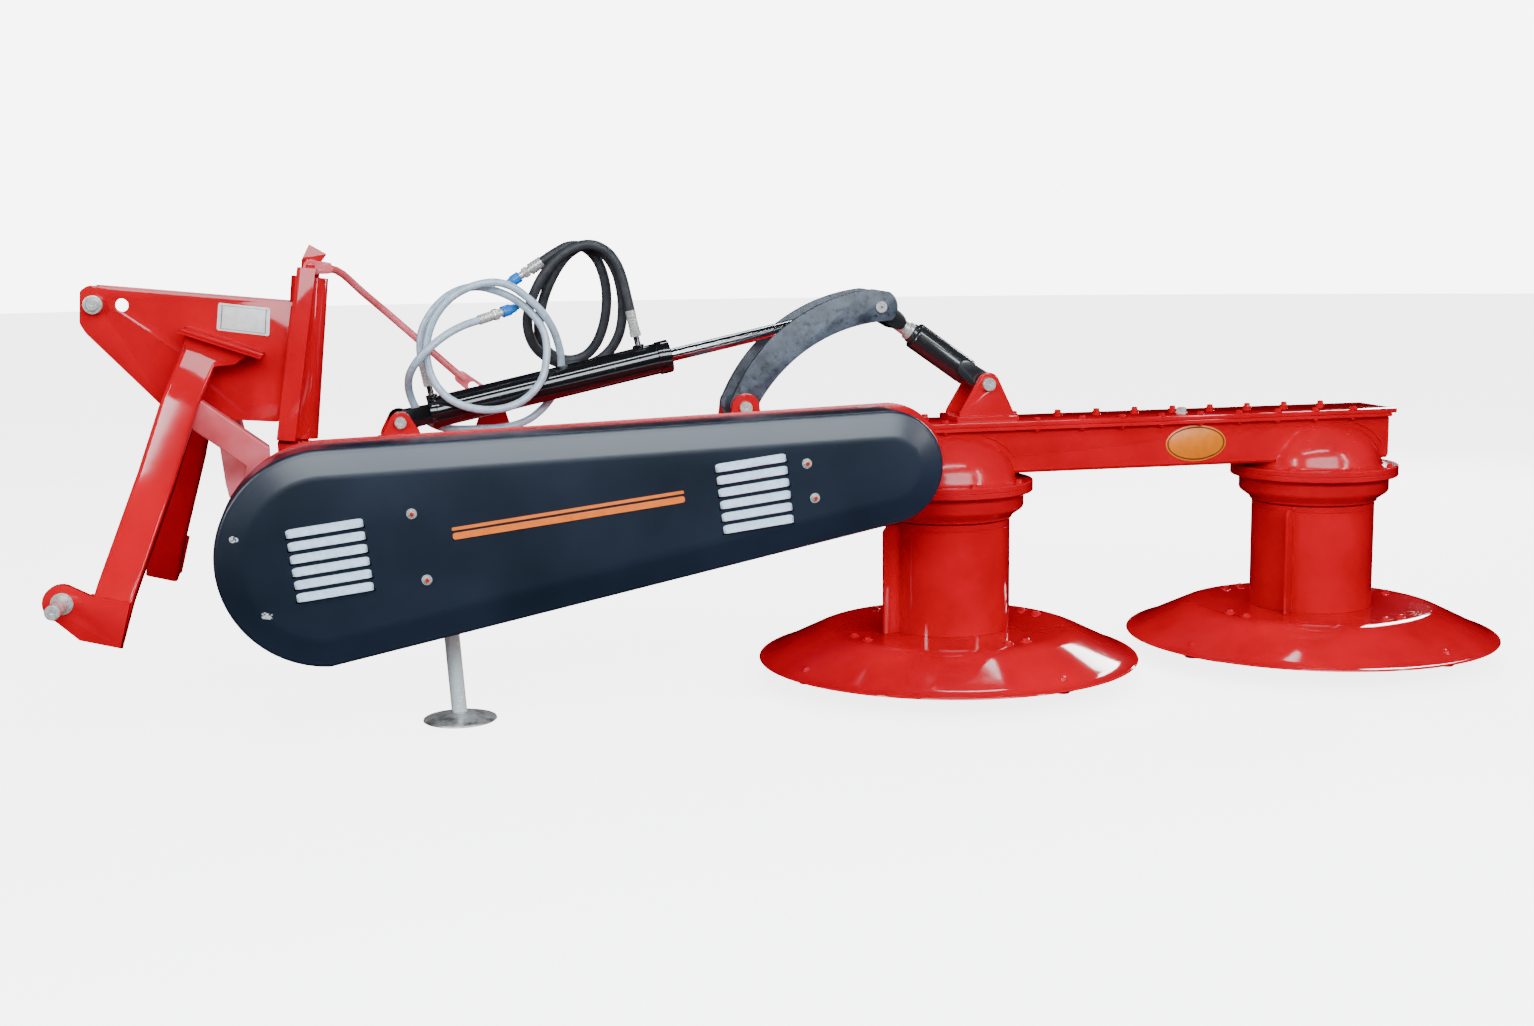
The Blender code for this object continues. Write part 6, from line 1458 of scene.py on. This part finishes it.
def port_fittings():
    """A hexagon and a crimped shell on each port."""
    low = BARREL_R + 0.024 + GAP
    for label, where, tip in zip(("base", "rod"), PORTS, PORT_TIPS):
        place = axis_to(cylinder_spot(where, low), cylinder_spot(where, tip))
        height = tip - low
        crimp = [(0, 0.011), (0.0088, 0.011), (0.0088, 0.0135), (0.0108, 0.0150), (0.0112, 0.0165)]
        for k in range(CRIMPS):
            at = 0.020 + k * 0.0066
            crimp += [(0.0112, at), (0.0104, at + 0.001), (0.0104, at + 0.0024), (0.0112, at + 0.0034)]
        crimp += [(0.0112, height - 0.0014), (0.0102, height), (0, height)]
        nut = [(0, 0), (0.0118, 0), (0.0130, 0.0014), (0.0130, 0.0126), (0.0118, 0.0140), (0, 0.0140)]
        fitting = together([turned(nut, place, 6), turned(crimp, place, 32)])
        piece(label + "_fitting_crimped", "zinc", "barrel", [fitting], replaces=[label + "_port_fitting"])


# Headstock

POST_SPOT = Vector(flat(POST_FOOT))
POST_AXIS = Vector((POST_TOP[0] - POST_FOOT[0], 0, POST_TOP[1] - POST_FOOT[1]))
HITCH_TURN = (Matrix.Translation(POST_SPOT) @ Matrix.Rotation(HITCH_YAW * DEG, 4, POST_AXIS)
              @ Matrix.Translation(-POST_SPOT))
MAST_FACE = MAST_GAP + MAST_PLATE
# Where a leg's top is sawn off under its saddle, and the way that the cut faces
SAW_SPOT, SAW_WAY = (-1.6601, 0, 0.8520), (0.0566, 0, 0.1576)
SADDLE = ((-1.6601, 0.8528), (-1.5025, 0.7962), (-1.5054, 0.7880), (-1.6630, 0.8446))
SADDLE_WEB = ((-1.655, 0.842), (-1.530, 0.798), (-1.5587, 0.7773), (-1.650, 0.770))
SADDLE_EDGE = 0.150         # the saddle's outer edge, from the middle
SADDLE_WEB_AT = (0.112, 0.124)
EAR_FACE = LEG_BOTTOM_Y + LEG_DEEP / 2 - 0.004      # inner face of the ear at a leg's foot
TYPE_PLATE = ((-1.5918, 0.9018), (-1.4882, 0.8886), (-1.4935, 0.8310), (-1.5983, 0.8458))


def hitch_piece(name, look, solids, cuts=(), extras=(), replaces=(), ease=0.0):
    """A piece of the headstock, turned with it on the post."""
    piece(name, look, "headstock", solids, cuts, extras, replaces, ease, HITCH_TURN)


def mast_sheet(label, side):
    """A mast plate; the second hole is round on the near one and a slot on the far one."""
    cuts = [cross_bar(*TOP_PIN, TOP_PIN_R + GAP, -0.1, 0.1, 44)]
    if label == "near":
        cuts.append(cross_bar(*TOP_HOLE, TOP_PIN_R + 0.001, -0.1, 0.1, 44))
    else:
        far_end = (TOP_HOLE[0] - 0.024, TOP_HOLE[1] - 0.003)
        cuts.append(plate(rounded_bar(far_end, TOP_HOLE, TOP_PIN_R + 0.003, TOP_PIN_R + 0.003), -0.1, 0.1))
    face = side * (MAST_FACE + 0.0004)
    seam = weld([(-1.4440, face, 0.893), (-1.4790, face, 0.668)], 0.0034)
    sheet = plate(soften(MAST_OUTLINE, 0.006, 3), *to_side(side, MAST_GAP, MAST_FACE))
    hitch_piece("mast_sheet_" + label, "red_paint", [sheet], cuts, [seam], ["mast_plate_" + label], 0.0016)


def swept_leg(label, side):
    """A box leg sawn off under its saddle, with the ear for the lower pin at its foot."""
    root = side * (MAST_FACE + GAP)
    path = [(LEG_TOP[0], root - side * 0.006, LEG_TOP[1]), *[(x, side * y, z) for x, y, z in LEG_ROUTE],
            (LEG_FOOT[0], side * LEG_BOTTOM_Y, LEG_FOOT[1])]
    leg = swept(path, tube_section(LEG_WIDE, LEG_DEEP, 0.009))
    sawn = bmesh.ops.bisect_plane(leg, geom=[*leg.verts, *leg.edges, *leg.faces], plane_co=SAW_SPOT,
                                  plane_no=SAW_WAY, clear_outer=True)["geom_cut"]
    bmesh.ops.holes_fill(leg, edges=[e for e in sawn if isinstance(e, bmesh.types.BMEdge)], sides=0)
    saddle = plate(SADDLE, *to_side(side, MAST_FACE + GAP, SADDLE_EDGE))
    web = plate(SADDLE_WEB, *to_side(side, *SADDLE_WEB_AT))
    foot = Vector(LEG_FOOT)
    up = (Vector((LEG_ROUTE[-1][0], LEG_ROUTE[-1][2])) - foot).normalized()
    left = Vector((-up.y, up.x)) * (LEG_WIDE / 2 + 0.001)
    sole, ankle = foot + up * 0.004, foot + up * 0.092
    ear = [tuple(ankle - left), tuple(sole - left), tuple(sole + left), *arc(*LOWER_PIN, 0.036, 248, 68, 30),
           tuple(ankle + left)]
    lug = plate(ear, *to_side(side, EAR_FACE, EAR_FACE + 0.016))
    cuts = [cross_bar(*LOWER_PIN, LOWER_PIN_R + GAP, *to_side(side, 0.30, 0.60), 44),
            block((-1.80, min(0, root), 0.60), (-1.40, max(0, root), 1.00))]
    edge = side * (LEG_BOTTOM_Y + LEG_DEEP / 2 - 0.001)
    rim, seam = side * (SADDLE_EDGE + 0.0002), root + side * 0.0006
    welds = [weld([(-1.6600, rim, 0.8520), (-1.5040, rim, 0.7960)], 0.0034),
             weld([(-1.6620, seam, 0.8545), (-1.5030, seam, 0.7975)], 0.0040),
             weld([(x, edge, z) for x, z in (ankle + left, ankle - left)], 0.0034)]
    hitch_piece("leg_swept_" + label, "red_paint", [leg, saddle, web, lug], cuts, welds, ["leg_" + label],
                0.0014)


def lower_pin(label, side):
    """A lower-link pin with a collar on each side of its ear."""
    parts = [turned_pin(*LOWER_PIN, *to_side(side, EAR_FACE - 0.012, EAR_FACE + 0.110), LOWER_PIN_R)]
    for outer, low, high in ((0.020, -0.014, -0.001), (0.021, 0.0162, 0.0195)):
        parts.append(collar(*LOWER_PIN, LOWER_PIN_R - 0.001, outer,
                            *to_side(side, EAR_FACE + low, EAR_FACE + high)))
    hitch_piece("lower_pin_turned_" + label, "zinc", [together(parts)], replaces=["lower_pin_" + label])


def top_pin():
    """The top link's pin with its collar."""
    parts = [turned_pin(*TOP_PIN, -0.078, 0.078, TOP_PIN_R),
             collar(*TOP_PIN, TOP_PIN_R - 0.001, 0.019, -0.070, -MAST_FACE - GAP)]
    hitch_piece("top_pin_turned", "zinc", [together(parts)], replaces=["top_link_pin"])


def swing_post():
    """Tube for the kingpin, between two flat bars."""
    def corner(z, edge):
        z -= (edge[0] + edge[1] * (z - POST_FOOT[1])) * POST_LEAN
        return (post_x(z) + edge[0] + edge[1] * (z - POST_FOOT[1]), z)

    left, right = POST_BAR_EDGES
    near, far = ([corner(low, left), corner(low, right), corner(high, right), corner(high, left)]
                 for low, high in POST_BARS)
    solids = [post_bar(POST_BOTTOM, POST_TOP[1], POST_R, 64), plate(near, -0.080, -POST_R + 0.004),
              plate(far, POST_R - 0.004, 0.080)]
    bore = post_bar(POST_BOTTOM - 0.02, POST_TOP[1] + 0.02, KINGPIN_R + RUN, 44)
    hitch_piece("swing_post_welded", "red_paint", solids, [bore], replaces=["swing_post"], ease=0.0016)


def lower_frame():
    """Hinge plate at the kingpin's foot and its two bent struts."""
    x, half = HINGE_PLATE_START, HINGE_PLATE_HALF
    rim = [(x, -half), *arc(post_x(HINGE_PLATE_Z), 0, half, -90, 90, 25), (x, half)]
    solids = [loft([[(x, y, z) for x, y in rim] for z in (HINGE_PLATE_Z - 0.006, HINGE_PLATE_Z + 0.006)])]
    for side, route in zip((-1, 1), STRUT_ROUTES):
        solids.append(swept([(x, side * y, z) for x, y, z in route], tube_section(*STRUT, 0.004)))
    bore = post_bar(HINGE_PLATE_Z - 0.03, HINGE_PLATE_Z + 0.03, KINGPIN_FOOT_R + RUN, 44)
    hitch_piece("lower_frame_welded", "red_faded_and_highlit", solids, [bore], replaces=["lower_frame"], ease=0.0012)


def type_plate():
    """A blank sheet with four rivets and a thin border line, on the near mast plate."""
    mx, mz = (sum(values) / 4 for values in zip(*TYPE_PLATE))
    sheet = plate(soften(TYPE_PLATE, 0.004, 3), -MAST_FACE - 0.0014, -MAST_FACE - 0.0002)
    spots = [(x + (mx - x) * 0.09, -MAST_FACE - 0.0013, z + (mz - z) * 0.09) for x, z in TYPE_PLATE]
    rivets = [button(spot, (0, -1, 0), 0.0022, 0.0016) for spot in spots]
    hitch_piece("bare_plate_sheet", "bare_plate", [sheet], extras=rivets, ease=0.0003)
    line = [[(mx + (x - mx) * share, -MAST_FACE - off, mz + (z - mz) * share) for x, z in TYPE_PLATE]
            for share, off in ((0.86, 0.0012), (0.86, 0.0017), (0.83, 0.0017), (0.83, 0.0012))]
    hitch_piece("plate_border_line", "hollow", [loft(line, closed=True)])


def swing_knuckle():
    """Knuckle block on the kingpin, with its top tab and the tie rod's upper pin."""
    left, right = TILT_X - KNUCKLE_HALF, TILT_X + KNUCKLE_HALF
    corners = [(left, KNUCKLE_FOOT), (right, KNUCKLE_FOOT)]
    corners += [(x, KNUCKLE_TOP - (x - post_x(KNUCKLE_TOP)) * POST_LEAN) for x in (right, left)]
    solids = [plate(corners, -0.055, 0.055), post_bar(0.600, TIE_TOP[1] + 0.016, KINGPIN_R, 44),
              post_bar(HINGE_PLATE_Z - 0.012, 0.5, KINGPIN_FOOT_R, 40),
              plate(soften(KNUCKLE_TAB, 0.003, 3), -0.006, 0.006),
              cross_bar(*TIE_TOP, 0.008, -0.031, 0.031, 28)]
    bore = cross_bar(TILT_X, TILT_Z, TILT_PIN_R + RUN, -0.1, 0.1, 44)
    piece("knuckle_welded", "red_paint", "swing_knuckle", solids, [bore], replaces=["swing_knuckle"],
          ease=0.0012)


def tie_rod():
    """Bent round rod with a forked upper end and a flat, slotted lower one."""
    side_y = ARM_HALF + 0.0145
    x, z = TIE_TOP
    fork = [plate(rounded_bar(TIE_TOP, (x + 0.034, z - 0.003), 0.015, 0.012), *span)
            for span in ((0.0215, 0.029), (-0.029, -0.0215))]
    fork.append(block((x + 0.026, -0.029, z - 0.014), (x + 0.042, 0.029, z + 0.008)))
    way = Vector((TIE_EYE[0] - x, 0, TIE_EYE[1] - z)).normalized()
    eye = Vector((TIE_EYE[0], side_y, TIE_EYE[1]))
    bends = [Vector((x + 0.036, 0, z - 0.004)), Vector((-1.345, 0.018, 0.9585)),
             Vector((-1.300, 0.050, 0.915)), Vector((-1.240, side_y, 0.860)), eye - way * 0.078]
    rod = pipe(spline(bends, 0.020)[0], 0.008, 24)
    start, end = eye - way * 0.086, eye + way * 0.012
    flat_end = plate(rounded_bar((start.x, start.z), (end.x, end.z), 0.014, 0.018),
                     side_y - 0.0045, side_y + 0.0045)
    slot = plate(rounded_bar((eye.x - way.x * 0.056, eye.z - way.z * 0.056), (eye.x, eye.z), 0.0088, 0.0088),
                 side_y - 0.02, side_y + 0.02)
    piece("tie_rod_bent", "red_faded_and_highlit", "tie_rod", [rod, *fork, flat_end],
          [cross_bar(*TIE_TOP, 0.0088, -0.05, 0.05, 32), slot], replaces=["tie_rod"], ease=0.0008)


# Stage and lights

FLOOR_SIZE, FLOOR_Z = 60, -0.0005
DOME_RADIUS = 28
FLOOR_GLOW = 4.2
BACKDROP_GLOW = 7.0
WORLD_GLOW = 0.24
SKY = (0.84, 0.93, 1.0)
WHITE = (1.0, 1.0, 1.0)
# Name, spot, aim, width, height, power, tint, and whether the paint mirrors it
LAMPS = (
    ("window_left", (-4.4, -2.8, 2.2), (-0.6, 0, 0.4), 0.5, 2.2, 80, WHITE, True),
    ("window_right", (2.9, -3.6, 2.3), (0.4, 0, 0.3), 0.4, 2.2, 50, WHITE, True),
    ("window_high", (-0.5, -2.6, 4.0), (-0.3, 0, 0.4), 3.4, 0.30, 75, SKY, True),
    ("window_behind", (3.3, 3.0, 2.0), (0.4, 0, 0.1), 0.4, 1.6, 60, WHITE, True),
    ("roof_light", (0.3, 1.7, 4.2), (0.1, 0, 0.2), 2.6, 0.25, 34, SKY, True),
    ("sky_front", (-0.4, -4.6, 2.7), (-0.2, 0, 0.4), 5.0, 1.4, 240, SKY, True),
    ("sky_fill", (-0.4, -4.6, 1.9), (-0.2, 0, 0.4), 5.0, 1.6, 90, SKY, False),
    ("ceiling", (-0.2, -0.2, 4.2), (-0.2, 0, 0.3), 4.5, 1.4, 30, SKY, False),
    ("back", (0.4, 3.6, 3.0), (0, 0, 0.4), 3.5, 1.2, 110, WHITE, False))


def studio():
    """Pale floor in a white studio, dim surroundings and window-like soft lamps."""
    bpy.ops.mesh.primitive_plane_add(size=FLOOR_SIZE, location=(0, 0, FLOOR_Z))
    floor = bpy.context.object
    floor.name = "studio_floor"
    look = Look("floor_white")
    tone = look.mix(look.noise(0.6, 2), (0.90, 0.90, 0.905), (0.93, 0.93, 0.93))
    floor.data.materials.append(look.finish({"Base Color": tone, "Roughness": 0.80, "Emission Color": WHITE,
                                             "Emission Strength": FLOOR_GLOW}))
    bpy.ops.mesh.primitive_uv_sphere_add(segments=64, ring_count=32, radius=DOME_RADIUS)
    dome = bpy.context.object
    dome.name = "studio_backdrop"
    look = Look("backdrop_white")
    dome.data.materials.append(look.finish({"Base Color": (0, 0, 0), "Emission Color": WHITE,
                                            "Emission Strength": BACKDROP_GLOW}))
    for stage in (floor, dome):
        stage.visible_diffuse = False
        stage.visible_glossy = False
        stage.visible_transmission = False
    dome.visible_shadow = False
    world = bpy.data.worlds.new("studio")
    bpy.context.scene.world = world
    world.use_nodes = True
    background = world.node_tree.nodes["Background"]
    background.inputs["Color"].default_value = (*WHITE, 1.0)
    background.inputs["Strength"].default_value = WORLD_GLOW
    world.cycles_visibility.glossy = False
    for name, spot, aim, wide, high, power, tint, mirrored in LAMPS:
        light = bpy.data.lights.new(name, "AREA")
        light.energy = power
        light.color = tint
        light.shape = "RECTANGLE"
        light.size = wide
        light.size_y = high
        lamp = bpy.data.objects.new(name, light)
        bpy.context.scene.collection.objects.link(lamp)
        lamp.visible_glossy = mirrored
        lamp.location = spot
        lamp.rotation_euler = (Vector(aim) - Vector(spot)).to_track_quat("-Z", "Y").to_euler()


camera()
hoses()
for drum_side, drum_x in DRUMS:
    drum_shell(drum_side, drum_x)
    drum_skirt(drum_side, drum_x)
    skid_dish(drum_side, drum_x)
    blades(drum_side, drum_x)
    gear_housing(drum_side, drum_x)
beam()
link_lugs()
oval_plate()
guard_back_sheet()
guard_cover()
guard_trim()
drive()
main_arm()
arm_lugs()
stand()
rocker()
link()
cylinder()
port_fittings()
for hitch_label, hitch_side in (("near", -1), ("far", 1)):
    mast_sheet(hitch_label, hitch_side)
    swept_leg(hitch_label, hitch_side)
    lower_pin(hitch_label, hitch_side)
top_pin()
swing_post()
lower_frame()
type_plate()
swing_knuckle()
tie_rod()
studio()
